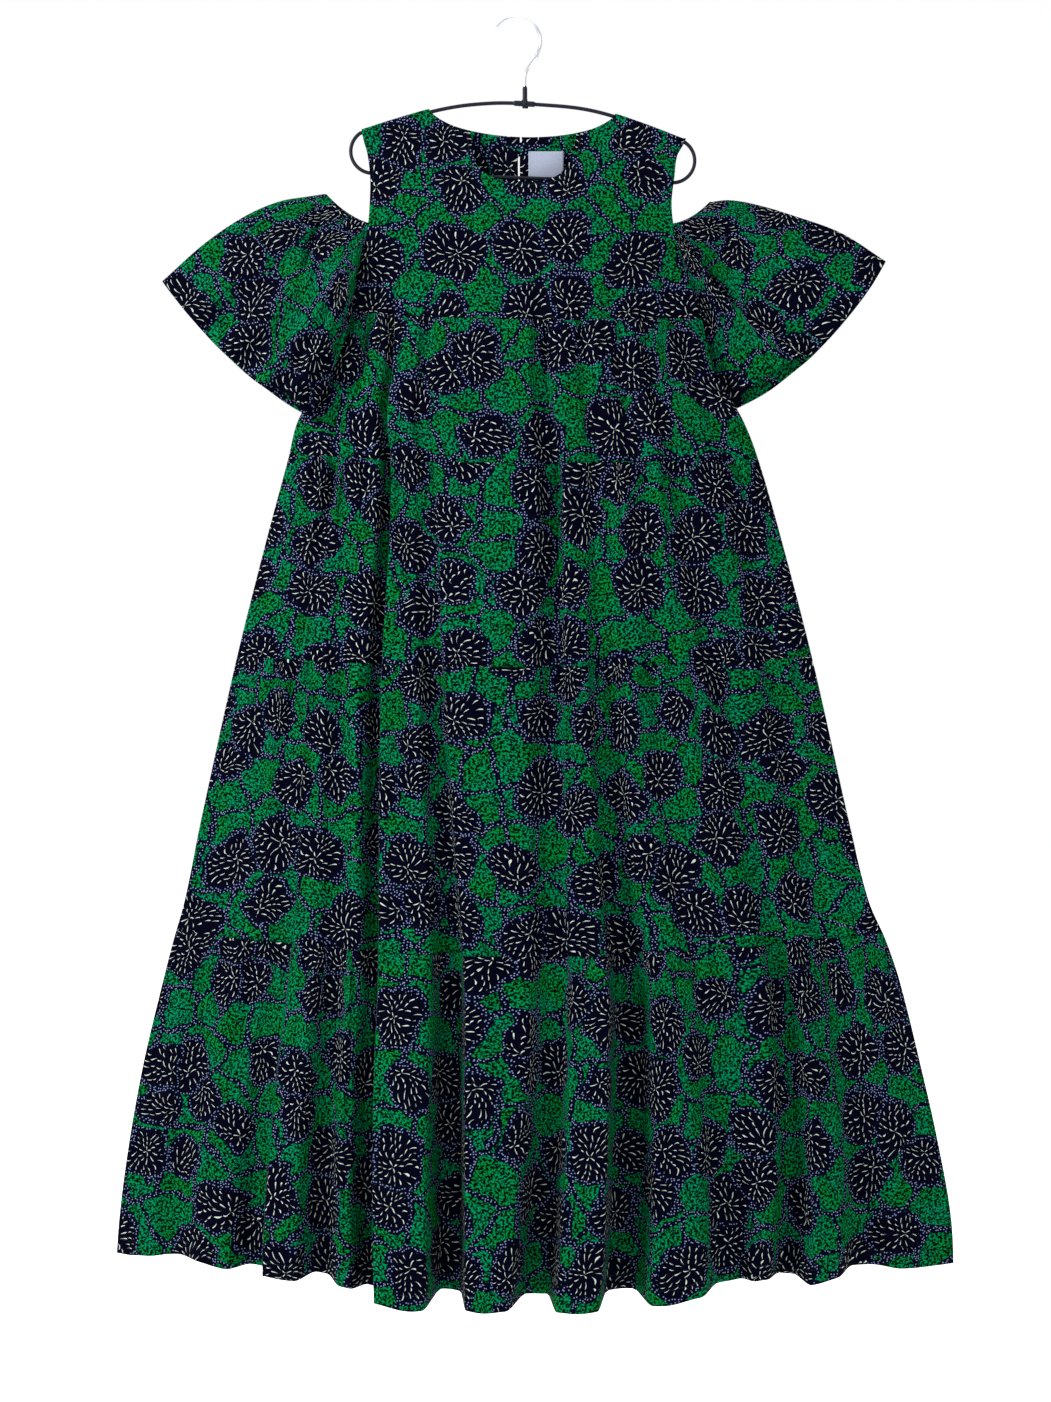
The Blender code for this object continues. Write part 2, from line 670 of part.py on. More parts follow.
def make_hanger(coated, chrome):
    """The closed wire with its two loops, the hook, and the clamp that holds them together."""
    left, right = WIRE_TOP[0], WIRE_TOP[-1]
    tops = []
    x = left.x
    while x < right.x:
        tops.append((x, wire_height(x)))
        x += WIRE_STEP_LENGTH
    right_start = math.degrees(math.atan2(right.z - LOOP_RIGHT.z, right.x - LOOP_RIGHT.x))
    left_end = math.degrees(math.atan2(left.z - LOOP_LEFT.z, left.x - LOOP_LEFT.x))
    right_loop = arc(LOOP_RIGHT, LOOP_RADIUS, right_start, -90, 9)
    left_loop = arc(LOOP_LEFT, LOOP_RADIUS, 270, left_end, 9)
    wire("hanger_body", tops + right_loop + left_loop[:-1], HANGER_WIRE_RADIUS, coated, closed=True)

    clamp = WireStep(CLAMP_X, wire_height(CLAMP_X))
    stem_end = WireStep(CLAMP_X, clamp.z + HANGER_WIRE_RADIUS + SEAM_GAP)
    hook_centre = WireStep(HOOK_CENTRE_X, HOOK_WIRE_RADIUS - HOOK_RADIUS)
    bend = arc(hook_centre, HOOK_RADIUS, HOOK_TIP_ANGLE, HOOK_BEND_END, 15)
    wire("hanger_hook", bend + list(STEM) + [stem_end], HOOK_WIRE_RADIUS, chrome)

    half = CLAMP_LENGTH / 2
    rise = wire_height(CLAMP_X + half) - wire_height(CLAMP_X - half)
    tilt = 90 - math.degrees(math.atan2(rise, CLAMP_LENGTH))
    sleeve_centre = WireStep(CLAMP_X, stem_end.z + STEM_SLEEVE_LENGTH / 2)
    joint = cylinder("hanger_joint", CLAMP_RADIUS, CLAMP_LENGTH, clamp, tilt, dress)
    joint.data.materials.append(coated)
    stem_sleeve = cylinder("stem_sleeve", STEM_SLEEVE_RADIUS, STEM_SLEEVE_LENGTH, sleeve_centre, 0, helpers)
    wire_hole_radius = HANGER_WIRE_RADIUS + CLAMP_WIRE_ROOM
    wire_hole = cylinder("wire_hole", wire_hole_radius, CLAMP_LENGTH * 1.5, clamp, tilt, helpers)
    stem_hole_radius = HOOK_WIRE_RADIUS + STEM_ROOM
    stem_hole = cylinder("stem_hole", stem_hole_radius, STEM_SLEEVE_LENGTH * 1.3, sleeve_centre, 0, helpers)
    join_or_cut(joint, stem_sleeve, "UNION")
    join_or_cut(joint, wire_hole, "DIFFERENCE")
    join_or_cut(joint, stem_hole, "DIFFERENCE")


for old in list(bpy.data.objects):
    bpy.data.objects.remove(old, do_unlink=True)

dress = new_collection("Tiered dress on hanger")
helpers = new_collection("Helpers")

printed_cotton = finish_of("Printed cotton", (0.01, 0.12, 0.06), 0.85)
label_satin = finish_of("Label satin", (0.62, 0.65, 0.72), 0.6)
coated_wire = finish_of("Coated wire", (0.012, 0.013, 0.02), 0.45)
chrome_wire = finish_of("Chrome wire", (0.75, 0.76, 0.78), 0.15, metallic=1.0)

make_bodice(printed_cotton)
make_skirts(printed_cotton)
make_sleeves(printed_cotton)
make_label(label_satin)
make_hanger(coated_wire, chrome_wire)
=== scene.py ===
"""Looks of a tiered cotton dress on its wire hanger, for Blender 4.5.

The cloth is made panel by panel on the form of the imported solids, with its gathers, folds and creases, then
come the stitching, the label, the hanger, and the floor, light and camera. Sizes are in millimetres, and
points become metres where a mesh is made. The front faces -Y.
"""

import math
from bisect import bisect_right
from collections import namedtuple

import bpy
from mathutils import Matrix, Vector


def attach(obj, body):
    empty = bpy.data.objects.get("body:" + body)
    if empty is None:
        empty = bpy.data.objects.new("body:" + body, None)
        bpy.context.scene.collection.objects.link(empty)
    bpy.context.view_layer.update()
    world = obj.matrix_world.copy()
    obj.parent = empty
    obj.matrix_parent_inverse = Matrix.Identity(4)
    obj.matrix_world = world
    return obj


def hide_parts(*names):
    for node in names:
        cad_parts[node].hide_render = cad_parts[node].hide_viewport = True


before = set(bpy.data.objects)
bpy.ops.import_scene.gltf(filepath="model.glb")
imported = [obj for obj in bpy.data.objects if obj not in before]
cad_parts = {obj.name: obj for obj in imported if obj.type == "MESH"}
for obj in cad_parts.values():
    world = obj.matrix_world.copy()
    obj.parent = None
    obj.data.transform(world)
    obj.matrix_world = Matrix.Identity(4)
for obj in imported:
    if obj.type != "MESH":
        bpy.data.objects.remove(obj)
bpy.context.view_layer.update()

# Bodice
# The plain upper part: a front and a back of printed cotton, cut flat and sewn at shoulders and sides. The
# shoulders lie over the hanger's wire, and the neck and armholes are turned in and stitched.

MM = 0.001
FRONT = -1
BACK = 1
CLOTH = 0.7
WIRE_RADIUS = 2.1
SHOULDER_RADIUS = 3.55
CHEST_DEPTH = 24.0
CHEST_RUN = 185
BODICE_FOLDS_START = -250
FULL_FOLD_DEPTH = 14
CHEST_FLATNESS = 0.75
HEM_FLATNESS = 1.3
FLATNESS_RUN = 900
SIDE_HALF_GAP = 0.4
UNDERARM = -299
SLEEVE_START = -241
NECK_LEFT = -103
NECK_RIGHT = 113
BACK_NECK_DIP = 28
BACK_NECK_ROUNDNESS = 0.62
FRONT_NECK_DROP = 6
FRONT_NECK_DIP = 50.5
SCOOP_CENTRE = 6
SCOOP_HALF_WIDTH = 61
SCOOP_SQUARENESS = 4.2
SCOOP_ROUNDNESS = 0.3

WireStep = namedtuple("WireStep", "x z")
WIRE_TOP = (
    WireStep(-181, -131.7),
    WireStep(-140, -118.6),
    WireStep(-100, -107.3),
    WireStep(-67, -100.8),
    WireStep(-32, -97.6),
    WireStep(-6, -97.4),
    WireStep(25, -99.2),
    WireStep(60, -102.0),
    WireStep(84, -105.8),
    WireStep(109, -112.2),
    WireStep(150, -126.2),
    WireStep(191, -142.1),
)

# Outline of the dress and how far front and back stand out midway, from the underarm to the hem
Section = namedtuple("Section", "z left right depth")
BODY = (
    Section(UNDERARM, -188, 197, CHEST_DEPTH),
    Section(-336, -195, 210, 28),
    Section(-406, -220, 227, 33),
    Section(-464, -254, 260, 37),
    Section(-510, -266, 278, 41),
    Section(-603, -291, 305, 45),
    Section(-742, -326, 341, 51),
    Section(-928, -367, 383, 59),
    Section(-1021, -386, 406, 63),
    Section(-1067, -399, 426, 66),
    Section(-1114, -411, 442, 68),
    Section(-1206, -433, 465, 72),
    Section(-1299, -450, 486, 75),
    Section(-1392, -462, 502, 77),
    Section(-1480, -467, 505, 78),
)
ArmholeStep = namedtuple("ArmholeStep", "z left right")
ARMHOLE = (
    ArmholeStep(-128, -181, 195),
    ArmholeStep(-140, -179, 194),
    ArmholeStep(-158, -174, 184.5),
    ArmholeStep(-186, -170.5, 180.5),
    ArmholeStep(-215, -170.5, 177),
    ArmholeStep(SLEEVE_START, -172, 178.5),
    ArmholeStep(-272, -178, 185),
)

# Height of each seam round the dress, at the left side, midway and at the right side
Seam = namedtuple("Seam", "left middle right")
EMPIRE = Seam(-339, -354, -347)
SEAM_2 = Seam(-503, -520, -510)
SEAM_3 = Seam(-737, -752, -738)
SEAM_4 = Seam(-1056, -1076, -1059)
HEM = Seam(-1429, -1463, -1441)
LEVELS = (EMPIRE, SEAM_2, SEAM_3, SEAM_4, HEM)

# The long folds: where each hollow lies at the five seams, its flat bottom, the run of its sides at the hem,
# how far it sinks at seams 2 to 4 and the hem, and how far the ridge on its right stands out
Fold = namedtuple(
    "Fold",
    "empire seam_2 seam_3 seam_4 hem flat left_run right_run sink_2 sink_3 sink_4 sink_hem ridge_4 ridge_hem",
)
LONG_FOLDS = (
    Fold(-190, -240, -295, -350, -400, 10, 24, 30, 0, 0, 2, 7, 1, 9),
    Fold(-178, -212, -245, -266, -300, 14, 28, 12, 4, 3, 6, 17, 2, 15),
    Fold(-170, -190, -206, -208, -224, 12, 22, 24, 2, 5, 8, 22, 2, 7),
    Fold(-146, -149, -159, -163, -166, 8, 19, 9, 14, 17, 20, 19, 6, 36),
    Fold(-100, -102, -94, -74, -74, 26, 18, 10, 7, 10, 20, 28, 5, 28),
    Fold(28, 40, 42, 46, 24, 28, 24, 11, 12, 12, 12, 29, 5, 29),
    Fold(78, 92, 97, 122, 116, 30, 14, 18, 5, 10, 24, 31, 4, 22),
    Fold(118, 136, 165, 210, 240, 24, 26, 26, 3, 3, 5, 17, 1, 4),
    Fold(150, 180, 224, 296, 308, 16, 20, 14, 7, 7, 9, 20, 2, 20),
    Fold(186, 246, 296, 366, 396, 20, 26, 40, 4, 6, 7, 12, 1, 5),
)
SIDE_RIDGE = 5
SIDE_RIDGE_RUN = 300
MOST_REACH = 0.42
CRISP_RUN = 13
CRISP_SHARE = 0.45
EMPIRE_SINK_SHARE = 0.4
SEAM_3_RIDGE_SHARE = 0.3
BACK_SHARE = 0.72
BACK_SHARE_SWING = 0.2

# Creases pressed or pulled into the cloth: the middle, the run from there to one end, half of the width, and
# the height (+) or depth (-)
Crease = namedtuple("Crease", "side x z run_x run_z width height")
BODICE_CREASES = (
    Crease(FRONT, -159, -312, 4, 62, 6.5, -5.5),
    Crease(FRONT, -145, -316, 8, 40, 8, 1.8),
    Crease(FRONT, 168, -298, -6, 46, 9, -3.4),
    Crease(FRONT, 152, -310, -8, 36, 8, 1.9),
    Crease(FRONT, -120, -190, 34, -22, 12, -1.3),
    Crease(FRONT, 128, -200, -36, -26, 12, -1.4),
    Crease(FRONT, -60, -262, 46, -9, 13, -1.1),
    Crease(FRONT, 72, -250, -42, -12, 13, -1.2),
    Crease(FRONT, 10, -300, 52, 5, 12, -1.0),
    Crease(FRONT, -30, -215, 40, 8, 12, 0.8),
    Crease(BACK, -140, -296, -6, 46, 9, -2.8),
    Crease(BACK, 150, -300, 7, 42, 9, -3.0),
    Crease(BACK, -70, -220, 38, -18, 12, -1.2),
    Crease(BACK, 66, -262, 40, 10, 13, -1.3),
    Crease(BACK, 100, -190, -30, -24, 12, -1.2),
    Crease(BACK, -20, -300, 44, -4, 12, -1.0),
)
CREASE_REACH = 3
CREASE_BEND = 0.12
SLIT_X = 2.7
SLIT_HALF_WIDTH = 1.0
NOTCH_DEPTH = 6
SLIT_TOP = 22
SLIT_END = 125


def smooth_curve(knots):
    """A function that passes smoothly through (place, value) knots and stays level beyond both ends."""
    knots = sorted(knots)
    places = [knot[0] for knot in knots]
    values = [knot[1] for knot in knots]
    last = len(knots) - 1
    slopes = []
    for i in range(last + 1):
        before, after = max(i - 1, 0), min(i + 1, last)
        slopes.append((values[after] - values[before]) / (places[after] - places[before]))

    def value_at(place):
        place = min(max(place, places[0]), places[-1])
        i = min(max(bisect_right(places, place) - 1, 0), last - 1)
        run = places[i + 1] - places[i]
        t = (place - places[i]) / run
        start = (1 + 2 * t) * (1 - t) ** 2 * values[i] + t * (1 - t) ** 2 * run * slopes[i]
        end = t * t * (3 - 2 * t) * values[i + 1] + t * t * (t - 1) * run * slopes[i + 1]
        return start + end

    return value_at


def ease(t):
    t = min(max(t, 0.0), 1.0)
    return t * t * (3 - 2 * t)


def blend(start, end, t):
    return start + (end - start) * t


def wander(t, seed):
    """An uneven wave between about -1 and 1."""
    return (
        0.5 * math.sin(1.7 * t + seed)
        + 0.3 * math.sin(3.1 * t + 2.1 * seed)
        + 0.2 * math.sin(5.3 * t + 0.7 * seed)
    )


wire_height = smooth_curve((step.x, step.z) for step in WIRE_TOP)
left_edge = smooth_curve([(step.z, step.left) for step in ARMHOLE + BODY])
right_edge = smooth_curve([(step.z, step.right) for step in ARMHOLE + BODY])
body_depth = smooth_curve((step.z, step.depth) for step in BODY)


def seam_height(seam, u):
    side = seam.left if u < 0 else seam.right
    return seam.middle + (side - seam.middle) * u * u


def shoulder_height(x):
    if x < NECK_LEFT or x > NECK_RIGHT:
        return wire_height(x) + SHOULDER_RADIUS
    across = (x - NECK_LEFT) / (NECK_RIGHT - NECK_LEFT)
    return blend(wire_height(NECK_LEFT), wire_height(NECK_RIGHT), across) + SHOULDER_RADIUS


def belly(u, z):
    flatness = blend(CHEST_FLATNESS, HEM_FLATNESS, ease((UNDERARM - z) / FLATNESS_RUN))
    return body_depth(z) * max(1 - u * u, 0) ** flatness


def fold_marks(side, z):
    """(u, height) at the lips and bottoms of the long folds, from the left side to the right one."""
    level_heights = [level.middle for level in LEVELS]
    middle = [(left_edge(h) + right_edge(h)) / 2 for h in level_heights]
    half = [(right_edge(h) - left_edge(h)) / 2 for h in level_heights]
    folds = []
    for number, fold in enumerate(LONG_FOLDS):
        places = [(x - c) / w for x, c, w in zip(fold[:5], middle, half)]
        u = smooth_curve(zip(level_heights, places))(z)
        sinks = (EMPIRE_SINK_SHARE * fold.sink_2, fold.sink_2, fold.sink_3, fold.sink_4, fold.sink_hem)
        ridges = (0, 0, SEAM_3_RIDGE_SHARE * fold.ridge_4, fold.ridge_4, fold.ridge_hem)
        share = 1.0
        left_run, right_run = fold.left_run, fold.right_run
        if side == BACK:
            u = -u
            share = BACK_SHARE + BACK_SHARE_SWING * math.sin(2.3 * number)
            left_run, right_run = right_run, left_run
        sink = share * smooth_curve(zip(level_heights, sinks))(z)
        ridge = share * smooth_curve(zip(level_heights, ridges))(z)
        runs = [run * (CRISP_SHARE if run < CRISP_RUN else 1) for run in (left_run, right_run)]
        reach = [(fold.flat / 2 + run) / half[-1] for run in runs]
        folds.append([u, reach[0], reach[1], fold.flat / 2 / half[-1], sink, ridge])
    if side == BACK:
        folds.reverse()
    marks = [(-1.0, 0.0)]
    ridge_before = SIDE_RIDGE * ease((SEAM_4.middle - z) / SIDE_RIDGE_RUN)
    for i, (u, reach_left, reach_right, flat, sink, ridge) in enumerate(folds):
        u_before = folds[i - 1][0] if i else -1.0
        u_after = folds[i + 1][0] if i + 1 < len(folds) else 1.0
        reach_left = min(reach_left, MOST_REACH * (u - u_before))
        reach_right = min(reach_right, MOST_REACH * (u_after - u))
        flat_left, flat_right = min(flat, reach_left / 2), min(flat, reach_right / 2)
        marks.append((u - reach_left, ridge_before))
        marks.append((u - flat_left, -sink))
        marks.append((u, -sink))
        marks.append((u + flat_right, -sink))
        marks.append((u + reach_right, ridge))
        ridge_before = ridge
    marks.append((1.0, 0.0))
    return marks


def fold_height(marks, u):
    places = [mark[0] for mark in marks]
    i = min(max(bisect_right(places, u) - 1, 0), len(marks) - 2)
    t = (u - places[i]) / (places[i + 1] - places[i])
    return blend(marks[i][1], marks[i + 1][1], ease(t))


def crease_height(creases, side, x, z):
    """How far the creases of a panel move the cloth out (+) or in (-)."""
    total = 0.0
    for crease in creases:
        if crease.side != side:
            continue
        length = math.hypot(crease.run_x, crease.run_z)
        away_x, away_z = x - crease.x, z - crease.z
        along = (away_x * crease.run_x + away_z * crease.run_z) / length**2
        across = (away_x * crease.run_z - away_z * crease.run_x) / length
        if abs(along) < 1 and abs(across) < CREASE_REACH * crease.width:
            bend = across - CREASE_BEND * length * along * along
            total += crease.height * (1 - along * along) ** 2 * math.exp(-((bend / crease.width) ** 2))
    return total


def bodice_out(side, x, z):
    """How far the bodice lies from the plane of the hanger."""
    below = shoulder_height(x) - z
    if below < SHOULDER_RADIUS:
        return max(math.sqrt(max(SHOULDER_RADIUS**2 - (SHOULDER_RADIUS - below) ** 2, 0)), CLOTH / 2)
    u = 2 * (x - left_edge(z)) / (right_edge(z) - left_edge(z)) - 1
    flat = SHOULDER_RADIUS + (CHEST_DEPTH - SHOULDER_RADIUS) * ease(below / CHEST_RUN)
    if z > UNDERARM:
        open_side = 1 - ease((z - SLEEVE_START) / (UNDERARM - SLEEVE_START))
        out = blend(SIDE_HALF_GAP + flat * max(1 - u * u, 0) ** CHEST_FLATNESS, flat, open_side)
    else:
        out = SIDE_HALF_GAP + belly(u, z)
    folded = fold_height(EMPIRE_MARKS[side], u) * ease(
        (BODICE_FOLDS_START - z) / (BODICE_FOLDS_START - EMPIRE.middle)
    )
    creased = crease_height(BODICE_CREASES, side, x, z)
    soft = 0.7 * wander(x / 62 + side, 1.3) * wander(z / 75, 0.4 + side)
    free = ease((below - 8) / 45)
    return out + folded * min(1, out / FULL_FOLD_DEPTH) + free * (creased + soft) * min(1, out / 8)


EMPIRE_MARKS = {side: fold_marks(side, EMPIRE.middle) for side in (FRONT, BACK)}


def neck_dip(side, x):
    """How far the neck edge lies below the shoulder line."""
    if x <= NECK_LEFT or x >= NECK_RIGHT:
        return 0.0
    across = 2 * (x - NECK_LEFT) / (NECK_RIGHT - NECK_LEFT) - 1
    dip = BACK_NECK_DIP * (1 - across * across) ** BACK_NECK_ROUNDNESS
    if side == BACK:
        return dip
    dip += FRONT_NECK_DROP * (1 - across * across)
    scoop = abs(x - SCOOP_CENTRE) / SCOOP_HALF_WIDTH
    if scoop < 1:
        dip += FRONT_NECK_DIP * (1 - scoop**SCOOP_SQUARENESS) ** SCOOP_ROUNDNESS
    return dip


def spread(start, end, count, crowd_start=False, crowd_end=False):
    """count places from start towards end, closer together at an end that is crowded."""
    places = []
    for i in range(count):
        t = i / count
        if crowd_start and crowd_end:
            t = (1 - math.cos(math.pi * t)) / 2
        elif crowd_start:
            t = 1 - math.cos(math.pi / 2 * t)
        elif crowd_end:
            t = math.sin(math.pi / 2 * t)
        places.append(blend(start, end, t))
    return places


def bodice_columns(side):
    """Places along the top edge: both shoulders and the neck between them."""
    left, right = ARMHOLE[0].left, ARMHOLE[0].right
    if side == FRONT:
        scoop_left, scoop_right = SCOOP_CENTRE - SCOOP_HALF_WIDTH, SCOOP_CENTRE + SCOOP_HALF_WIDTH
        neck = spread(NECK_LEFT, scoop_left, 14, True, False)
        neck += spread(scoop_left, scoop_right, 72, True, True)
        neck += spread(scoop_right, NECK_RIGHT, 14, False, True)
    else:
        slit_left, slit_right = SLIT_X - SLIT_HALF_WIDTH, SLIT_X + SLIT_HALF_WIDTH
        neck = spread(NECK_LEFT, slit_left, 45, True, False) + [slit_left]
        neck += spread(slit_right, NECK_RIGHT, 46, False, True)
    return spread(left, NECK_LEFT, 26) + neck + spread(NECK_RIGHT, right, 26) + [right]


def bodice_drops(side):
    """How far each row lies below the top edge, in millimetres midway between the shoulders."""
    roll = [SHOULDER_RADIUS * (1 - math.cos(math.radians(15 * i))) for i in range(7)]
    full = shoulder_height(SLIT_X) - seam_height(EMPIRE, 0)
    full -= BACK_NECK_DIP if side == BACK else BACK_NECK_DIP + FRONT_NECK_DROP + FRONT_NECK_DIP
    stops = (NOTCH_DEPTH, SLIT_TOP, SLIT_END, full) if side == BACK else (full,)
    rows = list(roll)
    for stop in stops:
        count = max(1, round((stop - rows[-1]) / 2.6))
        rows = rows[:-1] + spread(rows[-1], stop, count) + [stop]
    return rows, full


def bodice_rows(side):
    columns = bodice_columns(side)
    drops, full = bodice_drops(side)
    grid = []
    for drop in drops:
        row = []
        for top_x in columns:
            across = (top_x - columns[0]) / (columns[-1] - columns[0])
            top = shoulder_height(top_x) - neck_dip(side, top_x)
            bottom = seam_height(EMPIRE, 2 * across - 1)
            if drop <= SHOULDER_RADIUS:
                z = top - drop
            else:
                z = blend(top - SHOULDER_RADIUS, bottom, (drop - SHOULDER_RADIUS) / (full - SHOULDER_RADIUS))
            x = blend(left_edge(z), right_edge(z), across)
            row.append((x, side * bodice_out(side, x, z), z))
        grid.append(row)
    return grid


def new_object(name, data):
    made = bpy.data.objects.new(name, data)
    bpy.context.scene.collection.objects.link(made)
    return made


def made_mesh(name, source):
    """A plain smooth mesh of what a curve or a modifier makes, and the end of the object that made it."""
    made = bpy.data.meshes.new_from_object(source.evaluated_get(bpy.context.evaluated_depsgraph_get()))
    bpy.data.objects.remove(source, do_unlink=True)
    made.name = name
    made.shade_smooth()
    return made


def cloth_piece(name, grid, places, material, outside, wall=CLOTH, round_it=False, missing=()):
    """A thin shell through rows of points in millimetres, with its place on the flat cloth as its UV map."""
    across = len(grid[0])
    faces = []
    for i in range(len(grid) - 1):
        for j in range(across - 1):
            if (i, j) in missing:
                continue
            corners = [(i, j), (i, j + 1), (i + 1, j + 1), (i + 1, j)]
            faces.append(corners if outside == BACK else corners[::-1])
    used = sorted({corner for face in faces for corner in face})
    seam = {(i, across - 1): (i, 0) for i in range(len(grid))} if round_it else {}
    kept = [corner for corner in used if corner not in seam]
    number = {corner: n for n, corner in enumerate(kept)}
    mesh = bpy.data.meshes.new(name)
    mesh.from_pydata(
        [Vector(grid[i][j]) * MM for i, j in kept],
        [],
        [[number[seam.get(corner, corner)] for corner in face] for face in faces],
    )
    layer = mesh.uv_layers.new(name="cloth")
    spots = []
    for face in faces:
        for i, j in face:
            spots += [places[i][j][0] * MM, places[i][j][1] * MM]
    layer.data.foreach_set("uv", spots)
    mesh.materials.append(material)
    mesh.shade_smooth()
    piece = new_object(name, mesh)
    thickness = piece.modifiers.new("Cloth", "SOLIDIFY")
    thickness.thickness = wall * MM
    thickness.offset = 0
    return piece


def panel_places(grid, start_x, start_z):
    """Each point's place on the flat cloth, as long across as its lower rows and down as its column."""
    last = len(grid) - 1
    rows = [grid[round(share * last)] for share in (0.45, 0.72, 1.0)]
    across = [start_x]
    for j in range(len(grid[0]) - 1):
        steps = [(Vector(row[j + 1]) - Vector(row[j])).length for row in rows]
        across.append(across[-1] + sum(steps) / len(steps))
    down = [[start_z] * len(across)]
    for above, below in zip(grid, grid[1:]):
        down.append([d - (Vector(q) - Vector(p)).length for d, p, q in zip(down[-1], above, below)])
    return [list(zip(across, row)) for row in down]


def linear(hex_colour):
    """A colour's linear values from its sRGB hex."""
    values = [int(hex_colour[i : i + 2], 16) / 255 for i in (1, 3, 5)]
    return (*[v / 12.92 if v <= 0.04045 else ((v + 0.055) / 1.055) ** 2.4 for v in values], 1.0)


def add_node(tree, kind, links=None, **settings):
    """A node with its settings, and a value or a socket for each input that links names."""
    node = tree.nodes.new(kind)
    for name, value in settings.items():
        setattr(node, name, value)
    for socket, value in (links or {}).items():
        if isinstance(value, bpy.types.NodeSocket):
            tree.links.new(value, node.inputs[socket])
        else:
            node.inputs[socket].default_value = value
    return node


def maths(tree, operation, *values):
    """The result of a maths node on numbers or sockets."""
    return add_node(tree, "ShaderNodeMath", dict(enumerate(values)), operation=operation).outputs[0]


def vector_maths(tree, operation, *values):
    """The result of a vector maths node: a number for a length, and a vector otherwise."""
    node = add_node(tree, "ShaderNodeVectorMath", dict(enumerate(values)), operation=operation)
    return node.outputs["Value" if operation == "LENGTH" else "Vector"]


def scaled(tree, vector, scale):
    return add_node(tree, "ShaderNodeVectorMath", {0: vector, "Scale": scale}, operation="SCALE").outputs[0]


def xyz(tree, *values):
    return add_node(tree, "ShaderNodeCombineXYZ", dict(enumerate(values))).outputs[0]


def split(tree, value, kind="XYZ"):
    return add_node(tree, "ShaderNodeSeparate" + kind, {0: value}).outputs


def ranged(tree, value, to_min=0.0, to_max=1.0, from_min=0.0, from_max=1.0):
    """A value carried from one range to another, and held inside it."""
    links = {"Value": value, "From Min": from_min, "From Max": from_max, "To Min": to_min, "To Max": to_max}
    return add_node(tree, "ShaderNodeMapRange", links).outputs[0]


def mixed(tree, share, first, second):
    """The first colour changed for the second by a share. A colour is an sRGB hex or a socket."""
    first, second = [linear(c) if isinstance(c, str) else c for c in (first, second)]
    return add_node(tree, "ShaderNodeMix", {0: share, 6: first, 7: second}, data_type="RGBA").outputs[2]


def cells(tree, place, spacing, unevenness, feature="F1"):
    """What a flat texture of cells says, by the millimetres from cell to cell."""
    links = {"Vector": place, "Scale": 1 / spacing, "Randomness": unevenness}
    return add_node(tree, "ShaderNodeTexVoronoi", links, voronoi_dimensions="2D", feature=feature).outputs


def flat_noise(tree, place, spacing, **values):
    links = {"Vector": place, "Scale": 1 / spacing, **values}
    return add_node(tree, "ShaderNodeTexNoise", links, noise_dimensions="2D").outputs


def new_material(name):
    material = bpy.data.materials.new(name)
    material.use_nodes = True
    return material, material.node_tree


def set_inputs(node, values):
    for name, value in values.items():
        node.inputs[name].default_value = value


def set_surface(tree, colour, height, strength, distance, values):
    """Give a material's shader its colour, its bump and its other values."""
    shader = tree.nodes["Principled BSDF"]
    bump = add_node(tree, "ShaderNodeBump", {"Strength": strength, "Distance": distance, "Height": height})
    tree.links.new(colour, shader.inputs["Base Color"])
    tree.links.new(bump.outputs[0], shader.inputs["Normal"])
    set_inputs(shader, values)


def fine_finish(name, texture, look, colours, strength, distance, values, cloth=False, **settings):
    """A material whose two colours and bump follow one fine texture."""
    material, tree = new_material(name)
    if cloth:
        place = add_node(tree, "ShaderNodeUVMap", uv_map="cloth").outputs[0]
    else:
        place = add_node(tree, "ShaderNodeTexCoord").outputs["Object"]
    fine = add_node(tree, texture, {"Vector": place, **look}, **settings).outputs["Fac"]
    set_surface(tree, mixed(tree, fine, *colours), fine, strength, distance, values)
    return material


# Wax-printed cotton, plain woven and block coloured: dark round motifs filled with cream seed strokes, green
# patches with a fine dark vein, and navy bands of pale dots between them. It looks matt and a little dry.
# Sizes of the print are in millimetres.
STIR_SPACING = 27.0
STIR_REACH = 17.0
MOTIF_SPACING = 72.0
MOTIF_UNEVENNESS = 0.68
MOTIF_RADIUS = 19.8
MOTIF_SPREAD = 9.5
MOTIF_GAP = 2.6
MOTIF_SQUARENESS = 0.45
MOTIF_STRETCH = 0.76
MOTIF_SQUEEZE = 1.1
PATCH_SPACING = 48.0
PATCH_UNEVENNESS = 0.9
BAND_ROUND_MOTIF = 5.6
BAND_HALF_WIDTH = 3.2
DOT_SPACING = 3.3
DOT_RADIUS = 0.69
DOT_UNEVENNESS = 0.8
DOT_FROM_MOTIF = 0.5
DOT_FROM_BAND_EDGE = 0.9
DOT_FROM_PATCH_EDGE = 0.7
STROKE_SPACING = 7.4
STROKE_HALF_WIDTH = 0.47
STROKE_MARGIN = 1.2
STROKE_LEAN = 2.6
STROKE_BEND = 3.2
INNER_STROKES = 4.0
MORE_STROKES = 6.3
RING_STAGGER = 0.37
VEIN_SPACING = 2.5
DRIFT_SPACING = 38.0
WEAVE_SPACING = 0.9


